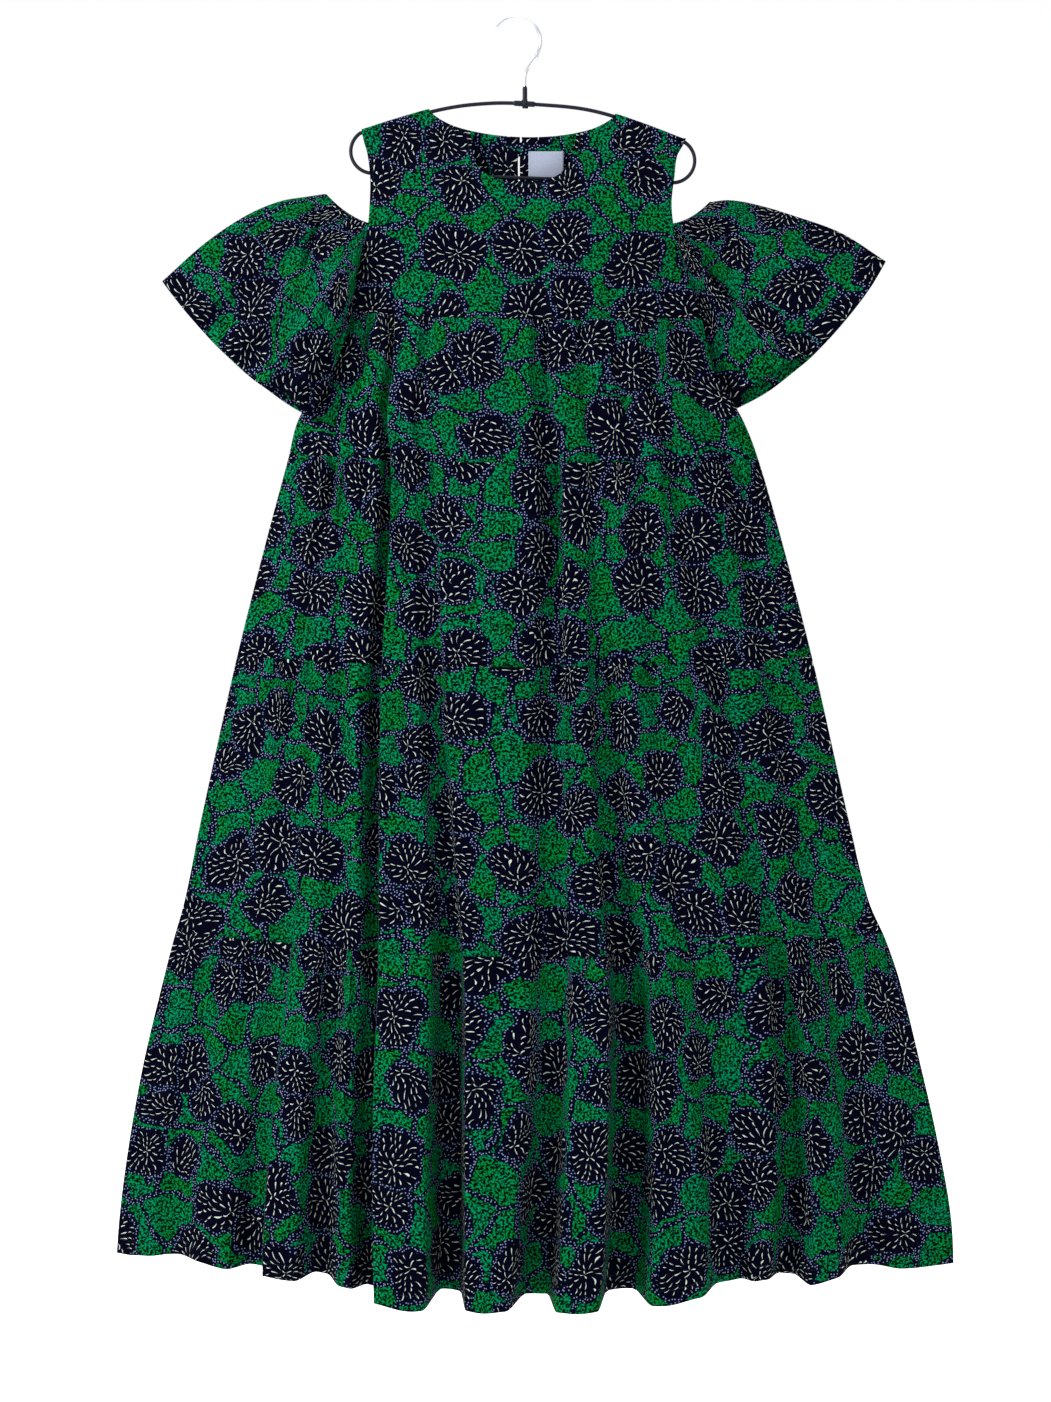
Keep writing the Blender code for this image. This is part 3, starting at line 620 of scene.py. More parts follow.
def print_layout():
    """A node group that says where a point of the cloth lies in its motif and from its patch's edge."""
    tree = bpy.data.node_groups.new("Print layout", "ShaderNodeTree")
    tree.interface.new_socket("Place", in_out="INPUT", socket_type="NodeSocketVector")
    for name, kind in (
        ("Motif edge", "Float"),
        ("Patch edge", "Float"),
        ("From centre", "Vector"),
        ("Chance", "Color"),
    ):
        tree.interface.new_socket(name, in_out="OUTPUT", socket_type="NodeSocket" + kind)
    place = add_node(tree, "NodeGroupInput").outputs["Place"]
    stir = flat_noise(tree, place, STIR_SPACING, Detail=1.0, Roughness=0.4)["Color"]
    centred = vector_maths(tree, "SUBTRACT", stir, (0.5, 0.5, 0.5))
    moved = vector_maths(tree, "MULTIPLY_ADD", centred, (STIR_REACH, STIR_REACH, 0), place)

    # A motif is partly round and partly square, turned and sized by chance, and ends inside its cell
    motif = cells(tree, moved, MOTIF_SPACING, MOTIF_UNEVENNESS)
    border = cells(tree, moved, MOTIF_SPACING, MOTIF_UNEVENNESS, "DISTANCE_TO_EDGE")["Distance"]
    chance = split(tree, motif["Color"], "Color")
    away = vector_maths(tree, "SUBTRACT", moved, motif["Position"])
    turn = {"Vector": away, "Angle": maths(tree, "MULTIPLY", chance[0], 2 * math.pi)}
    turned = add_node(tree, "ShaderNodeVectorRotate", turn, rotation_type="Z_AXIS").outputs[0]
    shape = xyz(tree, ranged(tree, chance[1], MOTIF_STRETCH, 1.0), MOTIF_SQUEEZE, 0.0)
    squeezed = vector_maths(tree, "MULTIPLY", turned, shape)
    round_reach = vector_maths(tree, "LENGTH", squeezed)
    ways = split(tree, vector_maths(tree, "ABSOLUTE", squeezed))
    square_reach = maths(tree, "MAXIMUM", ways[0], ways[1])
    both = {0: MOTIF_SQUARENESS, 2: round_reach, 3: square_reach}
    reach = add_node(tree, "ShaderNodeMix", both).outputs[0]
    radius = maths(tree, "MULTIPLY_ADD", chance[2], MOTIF_SPREAD, MOTIF_RADIUS)
    past = maths(tree, "SUBTRACT", reach, radius)
    to_border = maths(tree, "MULTIPLY_ADD", border, -MOTIF_SPACING, MOTIF_GAP)
    patch = cells(tree, moved, PATCH_SPACING, PATCH_UNEVENNESS, "DISTANCE_TO_EDGE")["Distance"]
    said = {
        "Motif edge": maths(tree, "MAXIMUM", past, to_border),
        "Patch edge": maths(tree, "MULTIPLY", patch, PATCH_SPACING),
        "From centre": turned,
        "Chance": motif["Color"],
    }
    add_node(tree, "NodeGroupOutput", said)
    return tree


def pale_dots(tree, place, layout):
    """Where the bands have a dot: small discs, each kept whole by testing the band at its middle."""
    dots = cells(tree, place, DOT_SPACING, DOT_UNEVENNESS)
    at_dot = add_node(tree, "ShaderNodeGroup", {"Place": dots["Position"]}, node_tree=layout).outputs
    by_motif = maths(tree, "LESS_THAN", at_dot["Motif edge"], BAND_ROUND_MOTIF - DOT_FROM_BAND_EDGE)
    by_patch = maths(tree, "LESS_THAN", at_dot["Patch edge"], BAND_HALF_WIDTH - DOT_FROM_PATCH_EDGE)
    outside = maths(tree, "GREATER_THAN", at_dot["Motif edge"], DOT_FROM_MOTIF)
    allowed = maths(tree, "MULTIPLY", maths(tree, "MAXIMUM", by_motif, by_patch), outside)
    disc = maths(tree, "LESS_THAN", dots["Distance"], DOT_RADIUS / DOT_SPACING)
    return maths(tree, "MULTIPLY", disc, allowed)


def cream_strokes(tree, here):
    """Where the motifs have a stroke: uneven seeds in rings about an eye that lies off the centre."""
    chance = split(tree, here["Chance"], "Color")
    shift = xyz(tree, ranged(tree, chance[2], -20.0, 4.0), 2.0, 0.0)
    from_eye = vector_maths(tree, "ADD", here["From centre"], shift)
    flat = vector_maths(tree, "MULTIPLY", from_eye, (1, 1, 0))
    reach = vector_maths(tree, "LENGTH", flat)
    ways = split(tree, flat)
    angle = maths(tree, "ARCTAN2", ways[1], ways[0])
    rings = maths(tree, "DIVIDE", reach, STROKE_SPACING)
    ring = maths(tree, "FLOOR", rings)
    along = maths(tree, "FRACT", rings)

    # Each ring holds about six strokes more than the one inside it
    in_ring = maths(tree, "FLOOR", maths(tree, "MULTIPLY_ADD", ring, MORE_STROKES, INNER_STROKES))
    counted = maths(tree, "MULTIPLY", maths(tree, "DIVIDE", angle, 2 * math.pi), in_ring)
    staggered = maths(tree, "MULTIPLY_ADD", ring, RING_STAGGER, counted)
    which = maths(tree, "FLOOR", staggered)
    within = maths(tree, "FRACT", staggered)
    seed = {"Vector": xyz(tree, ring, which, chance[0])}
    luck = add_node(tree, "ShaderNodeTexWhiteNoise", seed, noise_dimensions="3D").outputs["Color"]
    lucks = split(tree, luck, "Color")
    from_middle = maths(tree, "SUBTRACT", within, ranged(tree, lucks[0], 0.4, 0.6))
    room = maths(tree, "MULTIPLY", maths(tree, "DIVIDE", reach, in_ring), 2 * math.pi)
    sideways = maths(tree, "MULTIPLY", from_middle, room)

    # A stroke leans and bends a little, and swells from its inner tip to its outer end
    from_half = maths(tree, "SUBTRACT", along, 0.5)
    lean = ranged(tree, lucks[1], -STROKE_LEAN, STROKE_LEAN)
    leaning = maths(tree, "MULTIPLY_ADD", from_half, lean, sideways)
    bent = maths(tree, "MULTIPLY_ADD", maths(tree, "POWER", from_half, 2.0), STROKE_BEND, leaning)
    beside = maths(tree, "ABSOLUTE", bent)
    start = ranged(tree, lucks[2], 0.02, 0.2)
    seed_form = add_node(
        tree, "ShaderNodeFloatCurve", {"Value": ranged(tree, along, from_min=start, from_max=0.9)}
    )
    curve = seed_form.mapping.curves[0]
    curve.points[0].location = (0.0, 0.0)
    curve.points[1].location = (1.0, 0.0)
    curve.points.new(0.3, 0.45)
    curve.points.new(0.72, 1.0)
    seed_form.mapping.update()
    half_width = maths(tree, "MULTIPLY", seed_form.outputs[0], STROKE_HALF_WIDTH)
    stroke = maths(tree, "LESS_THAN", beside, half_width)
    return maths(tree, "MULTIPLY", stroke, maths(tree, "LESS_THAN", here["Motif edge"], -STROKE_MARGIN))


def printed_cotton_material():
    material, tree = new_material("Wax-printed cotton")
    cloth = add_node(tree, "ShaderNodeUVMap", uv_map="cloth").outputs[0]
    place = scaled(tree, cloth, 1000.0)
    layout = print_layout()
    here = add_node(tree, "ShaderNodeGroup", {"Place": place}, node_tree=layout).outputs

    # Green patches: a fine dark vein over two greens that drift into each other
    vein = flat_noise(tree, place, VEIN_SPACING, Detail=0.0, Distortion=0.5)[0]
    drift = flat_noise(tree, place, DRIFT_SPACING, Detail=1.0)[0]
    greens = mixed(tree, ranged(tree, drift, from_min=0.3, from_max=0.7), "#005A23", "#005D3C")
    veined = mixed(tree, ranged(tree, vein, from_min=0.46, from_max=0.59), "#000704", greens)

    # Over them the navy bands with their dots, and over those the motifs with their strokes
    near_motif = maths(tree, "LESS_THAN", here["Motif edge"], BAND_ROUND_MOTIF)
    near_patch = maths(tree, "LESS_THAN", here["Patch edge"], BAND_HALF_WIDTH)
    banded = mixed(tree, maths(tree, "MAXIMUM", near_motif, near_patch), veined, "#01020F")
    dotted = mixed(tree, pale_dots(tree, place, layout), banded, "#5C6684")
    in_motif = maths(tree, "LESS_THAN", here["Motif edge"], 0.0)
    motifs = mixed(tree, in_motif, dotted, "#01010B")
    printed = mixed(tree, cream_strokes(tree, here), motifs, "#919C90")

    # The plain weave is drawn at 0.9 mm a thread, three times its real size, so that it shows
    waves = split(tree, vector_maths(tree, "SINE", scaled(tree, place, 2 * math.pi / WEAVE_SPACING)))
    weave = maths(tree, "MULTIPLY", waves[0], waves[1])
    set_surface(tree, printed, weave, 0.25, 0.0001, {"Roughness": 0.88, "Specular IOR Level": 0.015})
    return material


printed_cotton = printed_cotton_material()

# Spun polyester sewing thread in a dark blue green, matt, with the twist of its two strands
thread = fine_finish(
    "Spun sewing thread",
    "ShaderNodeTexWave",
    look={"Scale": 900.0, "Distortion": 0.8},
    colours=("#071A1C", "#12312F"),
    strength=0.4,
    distance=0.0001,
    values={"Roughness": 0.75, "Specular IOR Level": 0.1},
    bands_direction="DIAGONAL",
)


def stitching_tree():
    """A node tree that lays stitches in a row along the edges that it is given."""
    tree = bpy.data.node_groups.new("Row of stitches", "GeometryNodeTree")
    for name, kind in (
        ("Geometry", "Geometry"),
        ("Pitch", "Float"),
        ("Stitch length", "Float"),
        ("Thread radius", "Float"),
        ("Thread", "Material"),
    ):
        tree.interface.new_socket(name, in_out="INPUT", socket_type="NodeSocket" + kind)
    tree.interface.new_socket("Geometry", in_out="OUTPUT", socket_type="NodeSocketGeometry")
    given = add_node(tree, "NodeGroupInput").outputs
    seam = add_node(tree, "GeometryNodeMeshToCurve", {0: given["Geometry"]}).outputs[0]
    places = add_node(
        tree, "GeometryNodeCurveToPoints", {0: seam, "Length": given["Pitch"]}, mode="LENGTH"
    ).outputs
    stitch = add_node(tree, "GeometryNodeMeshUVSphere", {"Segments": 5, "Rings": 4, "Radius": 1.0})
    uneven = add_node(tree, "FunctionNodeRandomValue", {2: 0.43, 3: 0.52, "Seed": 7}).outputs[1]
    half_length = maths(tree, "MULTIPLY", given["Stitch length"], uneven)
    laid = {
        "Points": places["Points"],
        "Instance": stitch.outputs["Mesh"],
        "Rotation": places["Rotation"],
        "Scale": xyz(tree, given["Thread radius"], given["Thread radius"], half_length),
    }
    row = add_node(tree, "GeometryNodeInstanceOnPoints", laid).outputs[0]
    real = add_node(tree, "GeometryNodeRealizeInstances", {0: row}).outputs[0]
    threaded = add_node(tree, "GeometryNodeSetMaterial", {0: real, "Material": given["Thread"]})
    add_node(tree, "NodeGroupOutput", {0: threaded.outputs[0]})
    return tree


# Lockstitch along the neck, the armholes and the hems: its place from the edge, and its rise from the cloth
STITCH_INSET = 3.5
STITCH_RISE = CLOTH / 2 + 0.1
HEM_STITCH_ROW = -4
ARMHOLE_STITCH_TOP_LEFT = -141
ARMHOLE_STITCH_TOP_RIGHT = -152
stitching = stitching_tree()


def stitch_piece(name, lines, pitch=3.4, length=2.7, radius=0.24):
    """Rows of stitches along lines of points in millimetres, made a plain mesh."""
    points, edges = [], []
    for line in lines:
        edges += [(len(points) + i, len(points) + i + 1) for i in range(len(line) - 1)]
        points += [Vector(point) * MM for point in line]
    seam = bpy.data.meshes.new(name + "_seam")
    seam.from_pydata(points, edges, [])
    sewn = new_object(name + "_seam", seam)
    row = sewn.modifiers.new("Stitches", "NODES")
    row.node_group = stitching
    wanted = {
        "Pitch": pitch * MM,
        "Stitch length": length * MM,
        "Thread radius": radius * MM,
        "Thread": thread,
    }
    for socket in stitching.interface.items_tree:
        if socket.in_out == "INPUT" and socket.name in wanted:
            row[socket.identifier] = wanted[socket.name]
    piece = new_object(name, made_mesh(name, sewn))
    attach(piece, "root")
    return piece


def row_on_cloth(grid, row, outside):
    """One row of a panel's grid, moved out to the face of the cloth."""
    line = []
    for j in range(1, len(grid[row]) - 1):
        across = Vector(grid[row][j + 1]) - Vector(grid[row][j - 1])
        down = Vector(grid[row + 1][j]) - Vector(grid[row - 1][j])
        away = across.cross(down).normalized() * STITCH_RISE * outside
        line.append(Vector(grid[row][j]) + away)
    return line


def edge_stitching(side):
    """The rows of stitches beside the neck edge and both armholes of one side."""
    edge = [(x, shoulder_height(x) - neck_dip(side, x)) for x in spread(NECK_LEFT + 1, NECK_RIGHT - 1, 160)]
    neck = []
    for (x_before, z_before), (x, z), (x_after, z_after) in zip(edge, edge[1:], edge[2:]):
        run_x, run_z = x_after - x_before, z_after - z_before
        length = math.hypot(run_x, run_z)
        x, z = x + run_z / length * STITCH_INSET, z - run_x / length * STITCH_INSET
        if side == BACK and abs(x - SLIT_X) < 3:
            continue
        neck.append((x, side * (bodice_out(side, x, z) + STITCH_RISE), z))
    lines = [neck]
    if side == BACK:
        lines = [[p for p in neck if p[0] < SLIT_X], [p for p in neck if p[0] > SLIT_X]]
    for edge_x, inward, top in (
        (left_edge, 1, ARMHOLE_STITCH_TOP_LEFT),
        (right_edge, -1, ARMHOLE_STITCH_TOP_RIGHT),
    ):
        armhole = []
        for z in spread(top, SLEEVE_START, 40):
            x = edge_x(z) + inward * STITCH_INSET
            armhole.append((x, side * (bodice_out(side, x, z) + STITCH_RISE), z))
        lines.append(armhole)
    return lines


def slit_cells():
    """The cells of the back that lie in the notch at its neck edge or in the slit below it."""
    columns = bodice_columns(BACK)
    drops = bodice_drops(BACK)[0]
    found = set()
    for j in range(len(columns) - 1):
        if abs((columns[j] + columns[j + 1]) / 2 - SLIT_X) > SLIT_HALF_WIDTH:
            continue
        for i in range(len(drops) - 1):
            drop = (drops[i] + drops[i + 1]) / 2
            if drop < NOTCH_DEPTH or SLIT_TOP < drop < SLIT_END:
                found.add((i, j))
    return found


for name, side, start, missing in (
    ("bodice_front", FRONT, (-620, 300), ()),
    ("bodice_back", BACK, (1400, 350), slit_cells()),
):
    grid = bodice_rows(side)
    spots = [[(start[0] + side * -x, start[1] + z) for x, y, z in row] for row in grid]
    piece = cloth_piece(name + "_cloth", grid, spots, printed_cotton, side, missing=missing)
    sewn = stitch_piece(name + "_stitches", edge_stitching(side))
    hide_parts(name)
    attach(piece, "root")

# Tiers
# Four gathered rounds of the same cotton, each longer round than the one above. Every tier is cut as a front
# and a back, gathered on two rows of thread and sewn to the edge above it. Only the lowest has a hem.

Tier = namedtuple("Tier", "name above below ripple_rise ripple step place flat")
TIERS = (
    Tier("tier_1", EMPIRE, SEAM_2, 0.16, 3.5, 4.0, (0, 0), (0.70, 0.17)),
    Tier("tier_2", SEAM_2, SEAM_3, 0.12, 4.5, 4.6, (310, 900), (0.88, 0.24)),
    Tier("tier_3", SEAM_3, SEAM_4, 0.1, 5.5, 5.2, (-150, 1900), (1.10, 0.33)),
    Tier("tier_4", SEAM_4, HEM, 0.08, 7.0, 5.6, (520, 2900), (1.35, 0.395)),
)
STEPS_PER_COLUMN = 5
BACK_PRINT_SHIFT = 2600

# How far below a gathered seam its crowded rows lie, and where the even ones begin
SEAM_ROWS = (0, 1.2, 2.6, 4.4, 6.6, 9.2, 12.2, 15.6)
SEAM_ROWS_END = 19.4

# How far the front hem is drawn up between its folds, by its place across
HEM_LIFTS = {
    -450: 0, -412: 7, -375: 12, -335: 9, -300: 12, -262: 11, -228: 13, -190: 9,
    -160: 6, -120: 0, -80: 6, -40: 0, -10: 3, 35: 3, 70: 0, 118: 6,
    165: 2, 200: 8, 240: 11, 285: 14, 330: 7, 370: 12, 410: 9, 460: 2,
    490: 0,
}
hem_lift = smooth_curve(HEM_LIFTS.items())
GATHER_SPACING = 13.0
GATHER_HEIGHT = 2.4
PUFF_HEIGHT = 2.2


def fold_columns(marks):
    """The places that the long folds give the cloth's columns."""
    places = [mark[0] for mark in marks]
    columns = [places[0], (places[0] + places[1]) / 2]
    for first in range(1, len(places) - 1, 5):
        lip, bottom, middle, far_bottom, far_lip, after = places[first : first + 6]
        columns += [lip, (lip + bottom) / 2, middle]
        columns += [(far_bottom + far_lip) / 2, far_lip, (far_lip + after) / 2]
    return columns + [places[-1]]


def gathers(side, number, at_seam, drop):
    """The small pleats below a gathered seam: crowded and shallow at it, fewer and softer further down."""
    seed = 1.7 * number + 0.9 * side
    fine = 2 * abs(math.sin(math.pi * at_seam / GATHER_SPACING + 1.6 * wander(at_seam / 23, seed))) - 1
    broad = 2 * abs(math.sin(math.pi * at_seam / (2.7 * GATHER_SPACING) + wander(at_seam / 47, seed + 1))) - 1
    fine_run = 26 + 16 * wander(at_seam / 13, seed + 2)
    broad_run = 80 + 45 * wander(at_seam / 31, seed + 3)
    uneven = 0.75 + 0.4 * wander(at_seam / 27, seed + 4)
    rise = ease(drop / 9)
    fine_part = GATHER_HEIGHT * uneven * fine * blend(0.35, 1, rise) * math.exp(-drop / fine_run)
    broad_part = 1.3 * GATHER_HEIGHT * broad * rise * math.exp(-drop / broad_run)
    return fine_part + broad_part


def tier_rows(side, tier, number):
    height = tier.above.middle - tier.below.middle
    rest = max(2, round((height - SEAM_ROWS_END) / tier.step))
    drops = [*SEAM_ROWS] + [blend(SEAM_ROWS_END, height, i / rest) for i in range(rest + 1)]
    seam_marks = fold_marks(side, tier.above.middle)
    seam_columns = fold_columns(seam_marks)
    half_width = (right_edge(tier.above.middle) - left_edge(tier.above.middle)) / 2
    grid = []
    for drop in drops:
        down = drop / height
        level = blend(tier.above.middle, tier.below.middle, down)
        marks = fold_marks(side, level)
        columns = fold_columns(marks)
        row = []
        for step in range((len(columns) - 1) * STEPS_PER_COLUMN + 1):
            column = step / STEPS_PER_COLUMN
            first = min(int(column), len(columns) - 2)
            u = blend(columns[first], columns[first + 1], column - first)
            at_seam = half_width * blend(seam_columns[first], seam_columns[first + 1], column - first)
            bottom = seam_height(tier.below, u)
            if tier.below is HEM:
                bottom += hem_lift(side * blend(left_edge(bottom), right_edge(bottom), (u + 1) / 2) * FRONT)
            z = blend(seam_height(tier.above, u), bottom, down)
            smooth = belly(u, level)
            uneven = 0.7 + 0.3 * math.sin(1.9 * round(column) + 2.0 * number + side)
            below_seam = min(down / tier.ripple_rise, 1) * (1 - down) ** 1.2
            ripple = tier.ripple * uneven * below_seam * math.sin(math.pi / 2 * (column + number))
            out = fold_height(marks, u) + 0.8 * ripple
            out += gathers(side, number, at_seam, drop) * (1 - down)
            out += PUFF_HEIGHT * ease(drop / 7) * math.exp(-drop / 60) * (1 - down)
            out += 1.6 * wander(at_seam / 55, number + side) * wander(z / 120, number) * ease(drop / 60)
            out = smooth + out * min(1, smooth / FULL_FOLD_DEPTH)
            x = blend(left_edge(z), right_edge(z), (u + 1) / 2)
            row.append((x, side * (SIDE_HALF_GAP + max(out, 0)), z))
        grid.append(row)
    return grid


for number, tier in enumerate(TIERS):
    for side, word in ((FRONT, "front"), (BACK, "back")):
        grid = tier_rows(side, tier, number)
        spots = panel_places(grid, tier.place[0] + (0 if side == FRONT else BACK_PRINT_SHIFT), tier.place[1])
        piece = cloth_piece(f"{tier.name}_{word}_cloth", grid, spots, printed_cotton, side)
        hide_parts(f"{tier.name}_{word}")
        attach(piece, "root")
        sewn = []
        if tier.below is HEM:
            hem_row = row_on_cloth(grid, HEM_STITCH_ROW, side)
            sewn = [stitch_piece(f"hem_{word}_stitches", [hem_row])]

# Sleeves
# Two wide flared sleeves of the same cotton, each one piece with a seam below the arm. They are sewn to the
# lower half of the armhole, hang free over the bare shoulder, and end in a narrow stitched hem.

Ring = namedtuple("Ring", "along top_x top_z low_x low_z bow_x bow_z carry depth")
LEFT_SLEEVE = (
    Ring(0.0, -222, -203, -188, -299, 33, -5, 0, 20),
    Ring(0.12, -245, -206, -189, -313, 20, -4, -9, 16),
    Ring(0.3, -278, -212, -191, -341, 10, -6, -15, 12),
    Ring(0.5, -317, -229, -201, -380, 5, -10, -18, 13),
    Ring(0.75, -364, -261, -218, -424, -2, -13, -20, 15),
    Ring(1.0, -412, -304, -236, -466, -7, -11, -22, 18),
)
RIGHT_SLEEVE = (
    Ring(0.0, 222, -212, 197, -299, -30, -5, 0, 20),
    Ring(0.12, 244, -210, 199, -314, -18, -2, 12, 16),
    Ring(0.3, 275, -215, 210, -346, -8, -4, 22, 12),
    Ring(0.5, 316, -227, 215, -380, -3, -8, 26, 13),
    Ring(0.75, 374, -248, 229, -420, 2, -13, 28, 16),
    Ring(1.0, 426, -281, 248, -450, 12, -16, 30, 20),
)
SLEEVE_COLUMNS = 240
SHOULDER_SAG = 5.5
SLEEVE_FLUTES = 4
SLEEVE_FLUTE_DEPTH = 6.0
FOLD_HEIGHT = 9.0
FOLD_EDGE = 0.02
FOLD_RISE_RUN = 0.12
FOLD_FALL_RUN = 0.25
HEM_TURN = 14.0
HEM_TURN_START = 0.55
LEFT_HEM_FOLD = 0.7
PUCKERS = 17
PUCKER_HEIGHT = 1.3
PUCKER_RUN = 0.16
SEAM_TURN = 3.5
SEAM_SHARE = 0.02

# Where the fold across the right sleeve lies, from its top edge (0) to its lower one (1), at places along it
RIGHT_FOLD = {0: 0.5, 0.12: 0.58, 0.3: 0.65, 0.5: 0.63, 1: 0.57}
right_fold = smooth_curve(RIGHT_FOLD.items())

# Dents and rolls of the sleeves: the middle along it and down its side, how far down it drifts, its length,
# half of its width, and its depth (+) or height (-)
Dent = namedtuple("Dent", "outward along low drift length width depth")
DENTS = (
    Dent(-1, 0.27, 0.32, 0.25, 0.26, 0.035, 9.0),
    Dent(-1, 0.30, 0.42, 0.20, 0.26, 0.035, -3.0),
    Dent(-1, 0.22, 0.18, 0.12, 0.22, 0.03, 6.0),
    Dent(-1, 0.62, 0.87, 0.00, 0.66, 0.045, -21.0),
    Dent(-1, 0.60, 0.957, 0.00, 0.62, 0.020, 17.0),
    Dent(-1, 0.70, 0.60, -0.10, 0.40, 0.050, 2.5),
    Dent(1, 0.24, 0.28, 0.10, 0.26, 0.035, 6.0),
    Dent(1, 0.55, 0.40, 0.05, 0.40, 0.060, 2.5),
    Dent(1, 0.72, 0.90, 0.00, 0.50, 0.050, -4.0),
)
SLEEVE_STEPS = [0, 0.006, 0.014] + [SEAM_SHARE + (1 - SEAM_SHARE) * i / 74 for i in range(75)]


def armhole_point(side, outward, z):
    x = left_edge(z) if outward < 0 else right_edge(z)
    return x, side * bodice_out(side, x, z), z


def armhole_ring_point(ring, outward, side, low, away):
    """The sleeve's inner end: its free edge over the shoulder, then its seam down the armhole."""
    if low < 0.5:
        t = low / 0.5
        seam_x, seam_y, seam_z = armhole_point(side, outward, SLEEVE_START)
        x = blend(ring.top_x, seam_x, t) + outward * away
        sag = SHOULDER_SAG * 4 * t * (1 - t)
        return x, seam_y * math.sin(math.pi / 2 * t) ** 0.8, blend(ring.top_z, seam_z, t) - sag
    x, y, z = armhole_point(side, outward, blend(SLEEVE_START, UNDERARM, (low - 0.5) / 0.5))
    return x + outward * away, 0.0 if low == 1 else y, z


def front_relief(outward, along, low):
    """How far the front of a sleeve is moved back (+) or out (-) by its fold, dents and rolls."""
    total = 0.0
    for dent in DENTS:
        there = (along - dent.along) / dent.length
        if dent.outward == outward and abs(there) < 1:
            across = (low - dent.low - dent.drift * there) / dent.width
            total += dent.depth * (1 - there * there) ** 2 * math.exp(-across * across)
    if outward > 0:
        past = low - right_fold(along)
        lapped = ease(past / FOLD_EDGE + 0.5)
        total += FOLD_HEIGHT * min(along / 0.3, 1) * (
            (1 - lapped) * math.exp(min(past, 0) / FOLD_RISE_RUN)
            - lapped * math.exp(-max(past, 0) / FOLD_FALL_RUN)
        )
    return total


def hem_turn(outward, along, low):
    """How far the front hem is drawn back below the fold, so that the inside of the back shows."""
    first = right_fold(along) if outward > 0 else LEFT_HEM_FOLD
    if low < first:
        return 0.0
    share = 1.0 if outward > 0 else 0.5
    swell = max(math.sin(math.pi * (low - first) / (1 - first)), 0) ** 0.7
    return share * HEM_TURN * ease((along - HEM_TURN_START) / 0.45) * swell


def sleeve_rows(rings, outward):
    curves = [smooth_curve((ring.along, ring[i]) for ring in rings) for i in range(1, len(Ring._fields))]
    grid = []
    start = None
    for along in SLEEVE_STEPS:
        top_x, top_z, low_x, low_z, bow_x, bow_z, carry, depth = (curve(along) for curve in curves)
        row = []
        for column in range(SLEEVE_COLUMNS + 1):
            turn = 2 * column / SLEEVE_COLUMNS
            side = FRONT if turn <= 1 else BACK
            turn = turn if side == FRONT else 2 - turn
            low = blend(turn, (1 - math.cos(math.pi * turn)) / 2, 0.6)
            swell = math.sin(math.pi * turn) ** 0.8 if 0 < turn < 1 else 0.0
            if along <= SEAM_SHARE:
                row.append(armhole_ring_point(rings[0], outward, side, low, SEAM_TURN * along / SEAM_SHARE))
                continue
            bow = 4 * low * (1 - low)
            x = blend(top_x, low_x, low) + bow_x * bow
            z = blend(top_z, low_z, low) + bow_z * bow
            y = carry * ease((low - 0.3) / 0.6) + side * depth * swell
            y += SLEEVE_FLUTE_DEPTH * along * math.sin(2 * math.pi * SLEEVE_FLUTES * low + outward) * swell
            if side == FRONT:
                y += front_relief(outward, along, low) * swell
                drawn = hem_turn(outward, along, low)
                x, z = x - outward * 0.5 * drawn, z + 0.85 * drawn
            puckers = math.sin(2 * math.pi * PUCKERS * low + 2.4 * wander(9 * low, side))
            y += PUCKER_HEIGHT * puckers * swell * math.exp(-along / PUCKER_RUN) * ease(along / 0.06)
            y += 2.2 * wander(11 * low + 1.1 * side, 2.0 + outward) * swell * ease(along / 0.25)
            row.append((x, y, z))
        if along > SEAM_SHARE:
            t = ease((along - SEAM_SHARE) / 0.1)
            row = [tuple(blend(p, q, t) for p, q in zip(a, b)) for a, b in zip(start, row)]
        else:
            start = row
        grid.append(row)
    return grid


for rings, word, outward, place in (
    (LEFT_SLEEVE, "left", -1, (2000, -700)),
    (RIGHT_SLEEVE, "right", 1, (-1500, -900)),
):
    grid = sleeve_rows(rings, outward)
    spots = panel_places(grid, *place)
    outside = BACK if outward < 0 else FRONT
    piece = cloth_piece(f"sleeve_{word}_cloth", grid, spots, printed_cotton, outside, round_it=True)
    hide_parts(f"sleeve_{word}")
    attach(piece, "root")
    sewn = stitch_piece(f"sleeve_{word}_stitches", [row_on_cloth(grid, HEM_STITCH_ROW, outside)])

# Label
# A small woven satin label, sewn inside the back neck at its two ends. It is bare.

LABEL_LEFT = 12.3
LABEL_WIDTH = 41
LABEL_TOP = -151.5
LABEL_HEIGHT = 31
LABEL_ROWS = 24
LABEL_COLUMNS = 30

# Woven satin, pale blue grey, with fine ribs across and a soft sheen
label_satin = fine_finish(
    "Woven label satin",
    "ShaderNodeTexWave",
    look={"Scale": 300.0, "Distortion": 0.6, "Detail": 1.0},
    colours=("#6A7183", "#828899"),
    strength=0.3,
    distance=0.0002,
    values={"Roughness": 0.5},
    cloth=True,
    bands_direction="Y",
)

